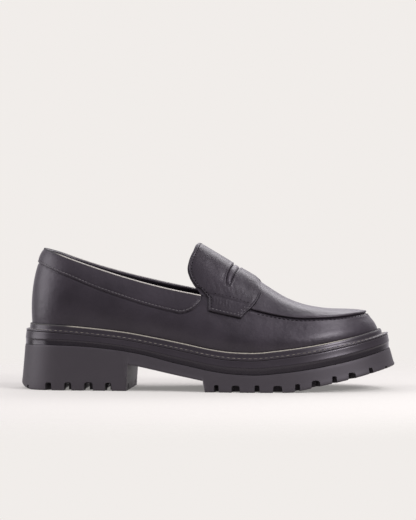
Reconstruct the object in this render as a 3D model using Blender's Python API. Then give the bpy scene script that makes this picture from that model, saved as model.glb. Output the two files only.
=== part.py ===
"""Chunky lug sole loafer, right shoe, as seven solids at real size.

The toe points along +X, +Z is up, and the outer (lateral) side of the shoe faces -Y. The origin is on the
floor under the middle of the sole. Stations are distances from the rear of the heel, in millimetres, and
every table has a row for each station. Heights are above the floor the shoe stands on.
"""

import math

import bmesh
import bpy
import numpy as np

MM = 0.001

# Driving sizes of the shoe, in millimetres
FEATHER_REAR = 7.4
FEATHER_TOE = 273.5
TOP_REAR = 17.2
TOP_TOE = 263.4
HEEL_BREAST = 84.5
BREAST_LEAN = 1.2
TREAD_STEP = 144.0
STEP_LEAN = 1.6

# Thickness of each layer, the step at the collar's seam, how far the wall stops below the topline, and the
# apron's lip: its share of the lap out and down, and its crown's share up and step back
WALL = 2.4
COLLAR_STEP = 1.2
TONGUE_WALL = 1.8
APRON_LAP = 1.5
LAP_SEATED = 0.25
SADDLE_LEATHER = 1.6
SEAM_STEP = 0.4
ROLL_DROP = 2.4
LIP_OUT = 0.95
LIP_DOWN = 0.7
CROWN_RISE = 1.15
CROWN_BACK = 0.3
INSOLE_BOARD = 3.0
GAP = 0.3

# The sole unit below the feather edge
WELT_DEPTH = 4.4
WELT_INNER = 10.0
TREAD_DEPTH = 5.5
EDGE_SPREAD = 7.0
WELD = 2.0e-6

# How many sections go round the shoe, the toe's row, the angle and the station where the tongue leaves the
# topline, where its rear edge stops leading the sections, the closer sections at the collar's front ends,
# the rows up the wall and the apron as shares of each, and the angles where the apron's lap grows
ROUND = 64
TOE_ROW = ROUND // 2
TONGUE_ANGLE = math.pi / 2
TONGUE_ROOT = 141.0
LEAD_END = 172.0
COLLAR_END = (134.0, 137.2, 139.6)
WALL_ROWS = (0.0, 0.2, 0.42, 0.64, 0.84)
APRON_ROWS = (0.03, 0.12, 0.25, 0.39, 0.54, 0.69, 0.84, 1.0)
LAP_START = TONGUE_ANGLE + 2 * 2 * math.pi / ROUND
LAP_FULL = TONGUE_ANGLE + 4 * 2 * math.pi / ROUND

# Feather edge, where the upper meets the welt: station, centre, half width
FEATHER = [
    (FEATHER_REAR, 0.0, 29.0),
    (35.0, 0.0, 29.6),
    (60.0, -0.6, 29.8),
    (82.0, -2.0, 30.2),
    (104.0, -3.6, 31.4),
    (129.0, -4.4, 34.6),
    (149.0, -4.0, 38.6),
    (165.0, -3.0, 41.5),
    (181.0, -2.0, 43.2),
    (199.0, -1.0, 43.8),
    (222.0, 0.5, 43.6),
    (246.0, 2.4, 43.2),
    (FEATHER_TOE, 4.5, 43.0),
]

# Height of the last's bed, which the welt, the midsole and the insole follow: station, height
BED = [
    (-4.0, 49.2),
    (12.0, 49.0),
    (35.0, 48.0),
    (60.0, 45.8),
    (82.0, 43.3),
    (104.0, 39.5),
    (129.0, 34.7),
    (149.0, 30.6),
    (165.0, 28.6),
    (181.0, 28.2),
    (199.0, 30.0),
    (222.0, 33.1),
    (246.0, 37.7),
    (262.0, 41.4),
    (273.5, 44.4),
    (290.0, 49.6),
]

# Topline, and in front of the tongue the apron seam: station, centre, half width, height, medial rise
TOP = [
    (TOP_REAR, 0.0, 21.5, 107.6, 0.0),
    (27.0, 0.0, 22.6, 104.4, 0.0),
    (40.0, 0.0, 24.0, 99.6, 0.0),
    (60.0, -0.3, 25.5, 92.7, 0.5),
    (80.0, -0.8, 26.5, 86.4, 1.4),
    (100.0, -1.5, 27.8, 80.9, 2.0),
    (120.0, -2.0, 29.5, 76.3, 2.2),
    (141.0, -2.2, 31.8, 72.3, 1.6),
    (160.0, -1.8, 33.2, 67.4, 0.6),
    (179.0, -1.0, 33.8, 62.2, 0.0),
    (200.0, 0.0, 34.2, 57.4, 0.0),
    (217.0, 1.0, 34.0, 55.4, 0.0),
    (240.0, 2.5, 33.5, 56.0, 0.0),
    (TOP_TOE, 4.5, 33.0, 58.6, 0.0),
]

# Ridge of the tongue and the apron: station, centre, height
RIDGE = [
    (120.0, -0.5, 119.0),
    (137.0, -0.4, 109.6),
    (149.0, -0.2, 102.4),
    (158.5, 0.0, 96.8),
    (168.0, 0.1, 91.0),
    (180.0, 0.3, 82.9),
    (191.0, 0.6, 75.4),
    (205.0, 1.2, 67.2),
    (223.0, 2.0, 61.6),
    (236.0, 2.9, 59.9),
    (248.0, 3.7, 59.7),
]

# How the side wall swells: station of its foot, outward lean low down and its share of the height,
# outward lean near the top and its share of the height
SWELL = [
    (8.0, 2.0, 0.4, 8.2, 0.24),
    (35.0, 4.0, 0.38, 6.6, 0.26),
    (60.0, 5.2, 0.36, 5.8, 0.3),
    (110.0, 5.5, 0.36, 6.0, 0.33),
    (150.0, 4.8, 0.4, 6.5, 0.36),
    (180.0, 4.2, 0.42, 7.0, 0.38),
    (217.0, 2.8, 0.42, 6.0, 0.35),
    (250.0, 1.2, 0.4, 5.2, 0.28),
    (273.5, -0.4, 0.36, 4.2, 0.2),
]

# How far behind its seam point each section of the apron meets the ridge: station on the seam, distance
APRON_LAG = [
    (185.0, 0.0),
    (210.0, 1.5),
    (240.0, 8.5),
    (263.4, 19.0),
]

# Angle at which the apron leaves its seam: station, degrees above level
APRON_RISE = [
    (160.0, 62.0),
    (180.0, 50.0),
    (200.0, 40.0),
    (225.0, 28.0),
    (250.0, 16.0),
    (263.4, 8.0),
]

# Collar band: station on the topline, depth of the band down the wall
BAND = [
    (17.5, 13.6),
    (35.0, 15.6),
    (60.0, 16.3),
    (80.0, 16.4),
    (100.0, 16.9),
    (118.0, 17.5),
    (126.0, 17.0),
    (132.0, 14.8),
    (136.0, 11.6),
    (139.6, 6.0),
    (141.0, 3.8),
]

# Section of the collar from the band's foot over the roll: share of the way up to the topline, height over
# the wall, and share of the swell; then the swell of a full band, its full depth and the let-in part's row
COLLAR_SECTION = [
    (0.0, -0.40, 0.0),
    (0.30, 0.1, 0.4),
    (0.62, 0.0, 1.0),
    (0.88, 0.1, 0.3),
    (1.0, -0.7, 0.0),
    (1.0, -1.9, 0.0),
]
COLLAR_SWELL = 0.55
FULL_BAND = 15.0
LET_IN_ROW = 0.35
FOOT_STEP = 0.7

# Rear edge of the tongue across its surface, from the apron seam (1) to the ridge (2): share, station
TONGUE_EDGE = [
    (1.00, 141.0),
    (1.08, 137.6),
    (1.18, 132.4),
    (1.32, 129.2),
    (1.48, 130.6),
    (1.70, 133.8),
    (2.00, 135.6),
]

# Front edge of the saddle in the same way, with its tab on the wall below 1: share, station
SADDLE_FRONT = [
    (0.70, 170.5),
    (0.85, 174.0),
    (1.00, 178.6),
    (1.20, 182.6),
    (1.45, 184.6),
    (1.75, 183.0),
    (2.00, 181.2),
]

# The saddle's slot: station of its low end, how far it leads at the ridge, half its width and its share
# of the way down from the ridge
SLOT_STATION = 159.6
SLOT_LEAN = 5.2
SLOT_HALF = 2.4
SLOT_REACH = 0.76

# Rows across the saddle from its tab's foot to the ridge, rows along it behind and ahead of the slot, and
# the row across at which the slot ends
TAB_ROWS = (-1.0, -0.66, -0.33)
STRAP_ROWS = (0.0, 0.10, 0.25, 0.39, 0.54, 0.69, 0.84, 1.0)
BEHIND_SLOT = (0.0, 0.22, 0.5, 0.78, 1.0)
AHEAD_OF_SLOT = (0.0, 0.25, 0.55, 0.8, 1.0)
SLOT_ROW = 5

# The saddle's rear edge: its step ahead of the tongue's, the tab's station at the seam and its slant, and
# the corner between them: station, slope and the share where it ends
REAR_STEP = 0.9
TAB_REAR = 146.0
TAB_SLANT = 2.4
CORNER = 145.0
CORNER_SLOPE = 60.0
CORNER_END = 1.10
TAB_SHARE = 0.3
SEAT_SLACK = 0.05

# The saddle's tab on the wall: station, depth below the apron seam
SADDLE_TAB = [
    (141.0, 10.6),
    (150.0, 11.0),
    (172.0, 10.2),
    (180.0, 9.8),
]

# Spread of the welt past the feather edge: station, spread
EDGE = [
    (8.0, 4.6),
    (60.0, 5.2),
    (130.0, 6.2),
    (200.0, 7.0),
    (273.5, 7.8),
]

# Underside of the heel, the arch and the forefoot: station, height
HEEL_SEAT = [
    (-4.0, 6.0),
    (0.0, 3.9),
    (4.0, 1.4),
    (11.0, 0.0),
    (90.0, 0.0),
]
ARCH = [
    (80.0, 20.4),
    (92.0, 19.0),
    (101.0, 17.2),
    (120.0, 13.2),
    (138.0, 9.6),
    (150.0, 7.4),
]
TOE_SPRING = [
    (140.0, 0.0),
    (204.0, 0.0),
    (215.0, 1.3),
    (230.0, 4.6),
    (250.0, 8.8),
    (268.0, 13.3),
    (290.0, 19.4),
]

# Depth of the midsole's foot below the bed: station, depth
MIDSOLE_FOOT = [
    (-4.0, 15.2),
    (30.0, 13.9),
    (62.0, 13.0),
    (95.0, 13.1),
    (123.0, 14.6),
    (160.0, 14.7),
    (208.0, 15.6),
    (253.0, 15.7),
    (290.0, 15.1),
]

# Section of the welt, from its inner foot round its bead, groove and margin: spread, height over the feather
WELT_SECTION = [
    (-WELT_INNER, -WELT_DEPTH),
    (-WELT_INNER, -GAP),
    (0.2, -GAP),
    (0.75, 0.5),
    (1.5, 0.8),
    (2.4, 0.2),
    (2.9, -2.3),
    (3.8, -3.0),
    (6.2, -3.2),
    (6.9, -3.7),
    (6.9, -WELT_DEPTH),
]

# Section of the midsole's side, from its core out and down: spread, height over the bed, and below the
# shoulder the share of the way down to its foot
MIDSOLE_SECTION = [
    (-WELT_INNER - GAP, -GAP, 0.0),
    (-WELT_INNER - GAP, -WELT_DEPTH - GAP, 0.0),
    (6.9, -WELT_DEPTH - GAP, 0.0),
    (7.2, -WELT_DEPTH - GAP, 0.17),
    (7.6, -WELT_DEPTH - GAP, 0.42),
    (7.8, -WELT_DEPTH - GAP, 0.56),
    (7.65, -WELT_DEPTH - GAP, 0.64),
    (7.7, -WELT_DEPTH - GAP, 1.0),
]

# Section of the outsole's side: spread, share of the way down, lift over the underside
SIDE_SECTION = [
    (7.8, 0.0, 0.0),
    (8.3, 0.06, 0.0),
    (9.2, 0.55, 0.0),
    (10.0, 1.0, 1.2),
    (9.1, 1.0, 0.0),
]
TOE_FLARE = 1.8
HEEL_FLARE = 1.4

# Notches in the edge of the tread: station on the feather edge, width at the floor, height; then how far a
# notch runs in, and how far every cutter goes on below the floor and a notch's past the edge
HEEL_NOTCHES = [
    (13.0, 2.6, 3.4),
    (26.0, 5.6, 6.0),
    (39.0, 6.0, 6.2),
    (55.0, 7.4, 6.4),
    (70.5, 5.4, 6.2),
]
TREAD_NOTCHES = [
    (154.0, 4.0, 5.6),
    (168.0, 6.8, 5.4),
    (183.5, 4.0, 5.6),
    (198.5, 7.4, 5.4),
    (212.5, 4.0, 5.6),
    (225.0, 7.0, 5.4),
    (237.5, 4.0, 5.6),
    (249.0, 6.6, 5.4),
    (260.5, 4.0, 5.4),
    (269.0, 3.2, 3.4),
]
NOTCH_REACH = 13.0
CUT_BELOW = 4.0
CUT_BEYOND = 8.0

# Channel inside the edge lugs and grooves across the middle of the tread
CHANNEL = 4.0
CHANNEL_SPREAD = -4.0
CHANNEL_SECTIONS = 35
CROSS_GROOVES = (36.0, 52.0, 68.0, 160.0, 176.0, 192.0, 208.0, 224.0, 239.0)
GROOVE_HALF = 2.2
CHANNEL_ROOF = TREAD_DEPTH - 0.4
GROOVE_ROOF = TREAD_DEPTH - 0.9

# Colours: red, green, blue, roughness
LEATHER_BLACK = (0.030, 0.027, 0.031, 0.38)
LINING_BLACK = (0.022, 0.021, 0.023, 0.62)
SOLE_GLOSS = (0.034, 0.031, 0.035, 0.34)
SOLE_MATT = (0.040, 0.037, 0.041, 0.62)


def columns(rows):
    """Return a table's columns as arrays."""
    return np.array(rows, dtype=float).T


def smooth(rows, at, column=1):
    """Read one column of a table at given first-column values, on a monotone cubic with flat ends."""
    table = columns(rows)
    knots = table[0]
    values = table[column]
    at = np.clip(np.asarray(at, dtype=float), knots[0], knots[-1])
    step = np.diff(knots)
    rise = np.diff(values) / step
    slope = np.zeros_like(values)
    slope[0] = rise[0]
    slope[-1] = rise[-1]
    together = rise[:-1] * rise[1:]
    total = np.where(together > 0, rise[:-1] + rise[1:], 1.0)
    slope[1:-1] = np.where(together > 0, 2 * together / total, 0.0)
    cell = np.clip(np.searchsorted(knots, at, side="right") - 1, 0, len(step) - 1)
    t = (at - knots[cell]) / step[cell]
    start = values[cell] * (1 + 2 * t) * (1 - t) ** 2 + slope[cell] * step[cell] * t * (1 - t) ** 2
    end = values[cell + 1] * t ** 2 * (3 - 2 * t) + slope[cell + 1] * step[cell] * t ** 2 * (t - 1)
    return start + end


def ease(at, start, end):
    """Return 0 before start, 1 after end and a smooth step between them."""
    t = np.clip((np.asarray(at, dtype=float) - start) / (end - start), 0.0, 1.0)
    return t * t * (3 - 2 * t)


def unit(vectors):
    """Return vectors at length 1."""
    return vectors / np.linalg.norm(vectors, axis=-1, keepdims=True)


def station_at(theta, rear, toe):
    """Return the station at an angle round the shoe: 0 is the heel's rear, pi is the toe."""
    return rear + (toe - rear) * (1 - np.cos(theta)) / 2


def angle_at(station, rear, toe, side):
    """Return the angle round the shoe of a station, on the lateral side (-1) or the medial side (1)."""
    level = np.clip(1 - 2 * (np.asarray(station, dtype=float) - rear) / (toe - rear), -1.0, 1.0)
    angle = np.arccos(level)
    return angle if side < 0 else 2 * math.pi - angle


def side_of(theta):
    """Return -1 on the lateral half of the round and 1 on the medial half."""
    return np.where(np.sin(theta) > 0, -1.0, 1.0)


def rounding(station, rear, toe, heel_round, toe_round):
    """Return the share of the half width that is left at the round ends."""
    back = np.clip(1 - (station - rear) / heel_round, 0.0, 1.0)
    ahead = np.clip(1 - (toe - station) / toe_round, 0.0, 1.0)
    return np.sqrt(1 - back ** 2.3) * np.sqrt(1 - ahead ** 2.35)


def outline(theta, rows, heel_round, toe_round):
    """Return the closed curve of a table of station, centre and half width, on the bed unless it has heights."""
    rear = rows[0][0]
    toe = rows[-1][0]
    station = station_at(theta, rear, toe)
    half = smooth(rows, station, 2) * rounding(station, rear, toe, heel_round, toe_round)
    across = smooth(rows, station, 1) + side_of(theta) * half
    height = smooth(BED, station)
    if len(rows[0]) > 3:
        height = smooth(rows, station, 3) + np.where(side_of(theta) > 0, smooth(rows, station, 4), 0.0)
    return np.stack([station, across, height], axis=-1)


def feather(theta):
    """Return the feather edge."""
    return outline(theta, FEATHER, 30.0, 74.0)


def top(theta):
    """Return the topline and the apron seam, as one closed curve."""
    return outline(theta, TOP, 27.0, 56.0)


def outward(theta):
    """Return the level unit vector that points out of the feather edge."""
    step = 0.012
    along = feather(theta + step) - feather(theta - step)
    across = np.stack([along[..., 1], -along[..., 0], np.zeros_like(along[..., 0])], axis=-1)
    return unit(across)


def bezier(points, t):
    """Return a cubic Bezier curve through four arrays of control points."""
    t = t[..., None]
    first, second, third, last = points
    inner = 3 * second * t * (1 - t) ** 2 + 3 * third * t ** 2 * (1 - t)
    return first * (1 - t) ** 3 + inner + last * t ** 3


def wall_controls(theta):
    """Return the four control points of the side wall's section at an angle."""
    foot = feather(theta)
    head = top(theta)
    out = outward(theta)
    rise = (head - foot)[..., 2:3] * np.array([0.0, 0.0, 1.0])
    at = foot[..., 0]
    low = foot + out * smooth(SWELL, at, 1)[..., None] + rise * smooth(SWELL, at, 2)[..., None]
    high = head + out * smooth(SWELL, at, 3)[..., None] - rise * smooth(SWELL, at, 4)[..., None]
    return foot, low, high, head


def wall_length(theta):
    """Return the length of the side wall's section, near enough from its control points."""
    foot, low, high, head = wall_controls(theta)
    legs = [np.linalg.norm(b - a, axis=-1) for a, b in ((foot, low), (low, high), (high, head))]
    return (sum(legs) + np.linalg.norm(head - foot, axis=-1)) / 2


def ridge(station):
    """Return the ridge of the tongue and the apron."""
    station = np.asarray(station, dtype=float)
    return np.stack([station, smooth(RIDGE, station, 1), smooth(RIDGE, station, 2)], axis=-1)


def apron_controls(theta):
    """Return the control points of half a section of the tongue or the apron, seam to ridge."""
    head = top(theta)
    station = head[..., 0]
    meeting = station - smooth(APRON_LAG, station)
    crest = ridge(meeting)
    slope = (ridge(meeting + 0.5) - ridge(meeting - 0.5))[..., 2]
    high = wall_controls(theta)[2]
    level = (head - crest) * np.array([1.0, 1.0, 0.0])
    reach = np.linalg.norm(level, axis=-1, keepdims=True)
    free = ease(station, 158.0, 186.0)[..., None]
    rise = np.radians(smooth(APRON_RISE, station))[..., None]
    inward = np.sin(rise) * np.array([0.0, 0.0, 1.0]) - np.cos(rise) * level / reach
    leaving = unit((1 - free) * unit(head - high) + free * inward)
    chord = np.linalg.norm(crest - head, axis=-1, keepdims=True)
    arriving = level / reach
    arriving[..., 2] = arriving[..., 0] * slope
    return head, head + leaving * chord * 0.36, crest + arriving * reach * 0.56, crest


def surface(theta, share):
    """Return the upper's outer face: share 0 to 1 is the wall, 1 to 2 the tongue and the apron."""
    theta, share = np.broadcast_arrays(np.asarray(theta, dtype=float), np.asarray(share, dtype=float))
    wall = bezier(wall_controls(theta), np.clip(share, 0.0, 1.0))
    over = bezier(apron_controls(theta), np.clip(share - 1.0, 0.0, 1.0))
    return np.where((share > 1.0)[..., None], over, wall)


def normal(theta, share):
    """Return the outward unit normal of the upper's outer face."""
    theta, share = np.broadcast_arrays(np.asarray(theta, dtype=float), np.asarray(share, dtype=float))
    step = 0.004
    back = np.where((share > 1.0) & (share < 1.0 + step), 0.0, step)
    lower = np.where(share <= 1.0, np.clip(share - back, 0.0, None), share - back)
    upper_end = np.where(share <= 1.0, 1.0, 2.0)
    upper = np.minimum(share + step, upper_end)
    round_step = 0.01
    along = surface(theta + round_step, share) - surface(theta - round_step, share)
    up = surface(theta, upper) - surface(theta, lower)
    crossed = np.cross(along, up)
    station = top_station(theta)
    meeting = station - smooth(APRON_LAG, station)
    run = ridge(meeting + 0.5) - ridge(meeting - 0.5)
    crest_normal = np.stack([-run[..., 2], 0 * run[..., 0], run[..., 0]], axis=-1)
    at_crest = share > 2.0 - 1e-9
    return unit(np.where(at_crest[..., None], crest_normal, crossed))


def top_station(theta):
    """Return the top curve's station at an angle."""
    return station_at(theta, TOP_REAR, TOP_TOE)


def place(points):
    """Turn millimetres from the heel's rear into metres from the shoe's origin."""
    return (np.asarray(points) - np.array(ORIGIN)) * MM


def grid_faces(index, wrap=False):
    """Return the quads of a grid of vertex numbers, closed in its first direction if asked."""
    rows = index.shape[0] if wrap else index.shape[0] - 1
    faces = []
    for row in range(rows):
        here = index[row]
        ahead = index[(row + 1) % index.shape[0]]
        for column in range(index.shape[1] - 1):
            faces.append((here[column], ahead[column], ahead[column + 1], here[column + 1]))
    return faces


class Shell:
    """Grids of points that are welded into one closed solid."""

    def __init__(self):
        self.points = []
        self.faces = []
        self.count = 0

    def add(self, points):
        """Add a grid of points and return its vertex numbers."""
        flat = np.asarray(points).reshape(-1, 3)
        index = np.arange(self.count, self.count + len(flat)).reshape(np.asarray(points).shape[:-1])
        self.points.append(flat)
        self.count += len(flat)
        return index

    def quads(self, index, wrap=False):
        """Face a grid of vertex numbers."""
        self.faces.extend(grid_faces(index, wrap))

    def strip(self, one, other, wrap=False):
        """Face the strip between two rows of vertex numbers."""
        self.quads(np.stack([np.asarray(one), np.asarray(other)], axis=1), wrap)

    def build(self, name, material):
        """Weld the grids, turn the faces outwards and link the solid as an object."""
        mesh = bpy.data.meshes.new(name)
        vertices = place(np.concatenate(self.points))
        mesh.from_pydata(vertices.tolist(), [], [tuple(int(i) for i in face) for face in self.faces])
        shape = bmesh.new()
        shape.from_mesh(mesh)
        bmesh.ops.remove_doubles(shape, verts=shape.verts, dist=WELD)
        bmesh.ops.dissolve_degenerate(shape, edges=shape.edges, dist=WELD)
        bmesh.ops.triangulate(shape, faces=shape.faces)
        bmesh.ops.recalc_face_normals(shape, faces=shape.faces)
        shape.to_mesh(mesh)
        shape.free()
        mesh.shade_smooth()
        mesh.set_sharp_from_angle(angle=math.radians(40))
        mesh.materials.append(material)
        thing = bpy.data.objects.new(name, mesh)
        bpy.context.scene.collection.objects.link(thing)
        return thing


def finish_of(name, colour):
    """Return a material of one colour and roughness."""
    material = bpy.data.materials.new(name)
    material.use_nodes = True
    shader = material.node_tree.nodes["Principled BSDF"]
    shader.inputs["Base Color"].default_value = (*colour[:3], 1.0)
    shader.inputs["Roughness"].default_value = colour[3]
    shader.inputs["Metallic"].default_value = 0.0
    return material


def round_angles():
    """Return the angles of the sections round the shoe."""
    return np.arange(ROUND) * 2 * math.pi / ROUND


def upper_angles():
    """Return the angles of the upper's sections, closer together at the collar's front ends."""
    extra = angle_at(np.array(COLLAR_END), TOP_REAR, TOP_TOE, -1)
    return np.sort(np.concatenate([round_angles(), extra, 2 * math.pi - extra]))


def band_share(theta):
    """Return the share of the wall's height at which the quarter ends and the collar band shows."""
    depth = smooth(BAND, top_station(theta))
    share = 1.0 - depth / wall_length(theta)
    ahead = ease(top_station(theta), TONGUE_ROOT, 165.0)
    return share * (1 - ahead) + 0.80 * ahead


def build_upper():
    """Make the upper: quarters, vamp, apron and tongue in one hollow shell."""
    angles = upper_angles()
    theta = angles[:, None]
    seam = band_share(theta)
    length = wall_length(theta)
    behind = 1 - ease(top_station(theta), COLLAR_END[-1], TONGUE_ROOT)
    end = 1.0 - ROLL_DROP * behind / length
    low = seam * np.array(WALL_ROWS)
    shares = np.concatenate([low, seam, seam + SEAM_STEP / length, (seam + end) / 2, end], axis=1)
    points = surface(theta, shares)
    facing = normal(theta, shares)
    let_in = np.zeros_like(shares)
    let_in[:, len(WALL_ROWS) + 1:] = -COLLAR_STEP * behind
    shell = Shell()
    outer = shell.add(points + facing * let_in[..., None])
    inner_points = points - facing * WALL
    root = int(np.argmin(np.abs(angles - TONGUE_ANGLE)))
    toe = int(np.argmin(np.abs(angles - math.pi)))
    far = 2 * toe - root
    front = np.arange(root, far + 1)
    seam_normal = apron_seam_normal(angles)
    inner_points[front, -1] = (points[:, -1] - seam_normal * WALL)[front]
    inner = shell.add(inner_points)
    shell.quads(outer, wrap=True)
    shell.quads(inner, wrap=True)
    shell.strip(outer[:, 0], inner[:, 0], wrap=True)
    rear = np.concatenate([np.arange(far, len(angles)), np.arange(0, root + 1)])
    shell.strip(outer[rear, -1], inner[rear, -1])
    for rows in (np.arange(root, toe + 1), np.arange(far, toe - 1, -1)):
        add_apron(shell, angles[rows], outer[rows, -1], inner[rows, -1])
    return shell.build("upper", finish_of("leather_black", LEATHER_BLACK))


def apron_seam_normal(theta):
    """Return the normal halfway between the wall's and the apron's at the seam."""
    return unit(normal(theta, np.ones_like(theta)) + normal(theta, np.full_like(theta, 1.02)))


def row_stations(ring, share):
    """Return the station of each grid row across the apron, led by the tongue's rear edge."""
    plain = top_station(ring)[:, None]
    lead = 1 - ease(plain, TONGUE_ROOT, LEAD_END)
    return plain + (smooth(TONGUE_EDGE, share)[None, :] - TONGUE_ROOT) * lead


def lap_height(theta):
    """Return how far the apron's face stands over the vamp at its seam."""
    ends = top_station(np.array([LAP_START, LAP_FULL]))
    return np.interp(top_station(theta), ends, [LAP_SEATED, APRON_LAP])


def add_apron(shell, ring, outer_seam, inner_seam):
    """Add half of the apron and the tongue, from the seam to the ridge, to the upper's shell."""
    side = -1 if ring[0] < math.pi else 1
    share = 1 + np.array(APRON_ROWS)
    theta = angle_at(row_stations(ring, share), TOP_REAR, TOP_TOE, side)
    face = surface(theta, share[None, :])
    facing = normal(theta, np.broadcast_to(share, theta.shape))
    lap = lap_height(theta)[..., None]
    seam_point = top(ring)
    wall_normal = normal(ring, np.ones_like(ring))
    down = unit(surface(ring, np.full_like(ring, 0.96)) - seam_point)
    edge_lap = lap_height(ring)[:, None]
    lip = seam_point + wall_normal * edge_lap * LIP_OUT + down * (edge_lap - LAP_SEATED) * LIP_DOWN
    crown = seam_point + apron_seam_normal(ring) * edge_lap * CROWN_RISE - down * CROWN_BACK
    outer = shell.add(np.concatenate([lip[:, None], crown[:, None], face + facing * lap], axis=1))
    thin = WALL - (WALL - TONGUE_WALL) * ease(share, 1.0, 1.3)
    inside = face - facing * thin[None, :, None]
    seam_inside = seam_point - apron_seam_normal(ring) * WALL
    toward = unit(inside[:, 1] - seam_inside)
    near = seam_inside[:, None] + toward[:, None] * np.array([0.25, 0.5])[None, :, None]
    inner = shell.add(np.concatenate([near, inside], axis=1))
    shell.quads(np.concatenate([outer_seam[:, None], outer], axis=1))
    shell.quads(np.concatenate([inner_seam[:, None], inner], axis=1))
    edge_outer = np.concatenate([outer_seam[:1], outer[0]])
    edge_inner = np.concatenate([inner_seam[:1], inner[0]])
    shell.strip(edge_outer, edge_inner)


def build_collar():
    """Make the collar: the padded band let in behind the quarters, rolled over the topline."""
    angles = upper_angles()
    behind = angles[angles < TONGUE_ANGLE - 0.001]
    theta = np.concatenate([-behind[:0:-1], behind])[:, None]
    length = wall_length(theta)
    seam = band_share(theta)
    foot = seam + FOOT_STEP / length
    rest = 1.0 - foot
    hook = 1.0 - (ROLL_DROP - GAP) / length
    way, height, puff = columns(COLLAR_SECTION)
    shares = np.concatenate([foot + rest * way, hook, hook, foot + rest * LET_IN_ROW, foot], axis=1)
    full = smooth(BAND, top_station(theta)) / FULL_BAND
    swell = COLLAR_SWELL * np.clip(full, 0.2, 1.0)
    level = np.ones_like(foot)
    let_in = (GAP - COLLAR_STEP) * level
    depth = np.concatenate([height + swell * puff, -WALL * level, let_in, let_in, let_in], axis=1)
    points = surface(theta, shares)
    facing = normal(theta, shares)
    shell = Shell()
    ring = shell.add(points + facing * depth[..., None])
    closed = np.concatenate([ring, ring[:, :1]], axis=1)
    shell.quads(closed)
    shell.faces.append(tuple(ring[0]))
    shell.faces.append(tuple(ring[-1][::-1]))
    return shell.build("collar", finish_of("collar_leather", LEATHER_BLACK))


def build_saddle():
    """Make the saddle: the strap over the instep, with its slot and a tab down each side."""
    lateral = saddle_half(-1)
    medial = saddle_half(1)
    under = np.concatenate([lateral[0], medial[0][:, ::-1][:, 1:]], axis=1)
    over = np.concatenate([lateral[1], medial[1][:, ::-1][:, 1:]], axis=1)
    shell = Shell()
    low = shell.add(under)
    high = shell.add(over)
    columns_across = low.shape[1]
    slot_row = len(BEHIND_SLOT) - 1
    first = SLOT_ROW
    last = columns_across - 1 - SLOT_ROW
    for index in (low, high):
        shell.quads(index[:slot_row + 1])
        shell.quads(index[slot_row + 1:])
        for column in range(columns_across - 1):
            if column < first or column >= last:
                shell.quads(index[slot_row:slot_row + 2, column:column + 2])
    for row in (slot_row, slot_row + 1):
        shell.strip(low[row, first:last + 1], high[row, first:last + 1])
    for column in (first, last):
        shell.strip(low[slot_row:slot_row + 2, column], high[slot_row:slot_row + 2, column])
    for line in ((slice(None), 0), (slice(None), -1), (0, slice(None)), (-1, slice(None))):
        shell.strip(low[line], high[line])
    return shell.build("saddle", finish_of("saddle_leather", LEATHER_BLACK))


def saddle_half(side):
    """Return the under and outer faces of half of the saddle, rows from its rear edge to its front."""
    tab = np.array(TAB_ROWS)
    half = np.array(STRAP_ROWS)
    back = np.array(BEHIND_SLOT)
    ahead = np.array(AHEAD_OF_SLOT)
    share = np.concatenate([1 + TAB_SHARE * tab, 1 + half])
    rear = np.where(share >= 1.0, smooth(TONGUE_EDGE, share) + REAR_STEP, TAB_REAR - TAB_SLANT * (share - 1.0))
    corner = CORNER - CORNER_SLOPE * np.clip(share - 1.0, 0, 1)
    rear = np.maximum(rear, np.where(share < CORNER_END, corner, 0.0))
    front = smooth(SADDLE_FRONT, share)
    middle = SLOT_STATION + SLOT_LEAN * ease(share, 1.2, 2.0)
    round_end = np.sqrt(np.clip(1 - np.clip((2.0 - share) / SLOT_REACH, 0, 1) ** 6, 0.02, 1))
    width = SLOT_HALF * round_end
    early = rear[None, :] + (middle - width - rear)[None, :] * back[:, None]
    late = (middle + width)[None, :] + (front - middle - width)[None, :] * ahead[:, None]
    station = np.concatenate([early, late], axis=0)
    theta = angle_at(station, TOP_REAR, TOP_TOE, side)
    drop = smooth(SADDLE_TAB, station)
    low_share = 1 - (-np.concatenate([tab, 0 * half]))[None, :] * drop / wall_length(theta)
    across = np.where(share[None, :] < 1.0, low_share, share[None, :])
    face = surface(theta, across)
    facing = normal(theta, across)
    seat = (GAP + lap_height(theta) + SEAT_SLACK)[..., None]
    return face + facing * seat, face + facing * (seat + SADDLE_LEATHER)


def level_ring(theta, spread, height):
    """Return a ring at a spread past the feather edge and a height over it."""
    wide = np.where(spread > 0, spread * smooth(EDGE, feather(theta)[..., 0]) / EDGE_SPREAD, spread)
    ring = feather(theta) + outward(theta) * wide[..., None]
    ring[..., 2] = smooth(BED, ring[..., 0]) + height
    return ring


def build_welt():
    """Make the welt: a ring with its bead beside the upper, its stitch groove and its margin."""
    theta = round_angles()[:, None]
    spread, height = columns(WELT_SECTION)
    rings = level_ring(theta, np.broadcast_to(spread, (ROUND, len(spread))), height[None, :])
    shell = Shell()
    index = shell.add(rings)
    shell.quads(np.concatenate([index, index[:, :1]], axis=1), wrap=True)
    return shell.build("welt", finish_of("welt_gloss", SOLE_GLOSS))


def add_caps(shell, ring):
    """Close a ring of sections with a strip from side to side."""
    near = ring[:TOE_ROW + 1]
    far = np.concatenate([ring[:1], ring[:TOE_ROW - 1:-1]])
    shell.strip(near, far)


def build_midsole():
    """Make the midsole: the glossy band with its core up to the insole."""
    theta = round_angles()[:, None]
    spread, height, share = columns(MIDSOLE_SECTION)
    rings = level_ring(theta, np.broadcast_to(spread, (ROUND, len(spread))), height[None, :])
    rings[..., 2] -= share * (smooth(MIDSOLE_FOOT, rings[..., 0]) - WELT_DEPTH - GAP)
    shell = Shell()
    index = shell.add(rings)
    shell.quads(index, wrap=True)
    add_caps(shell, index[:, 0])
    add_caps(shell, index[:, -1])
    return shell.build("midsole", finish_of("midsole_gloss", SOLE_GLOSS))


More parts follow.
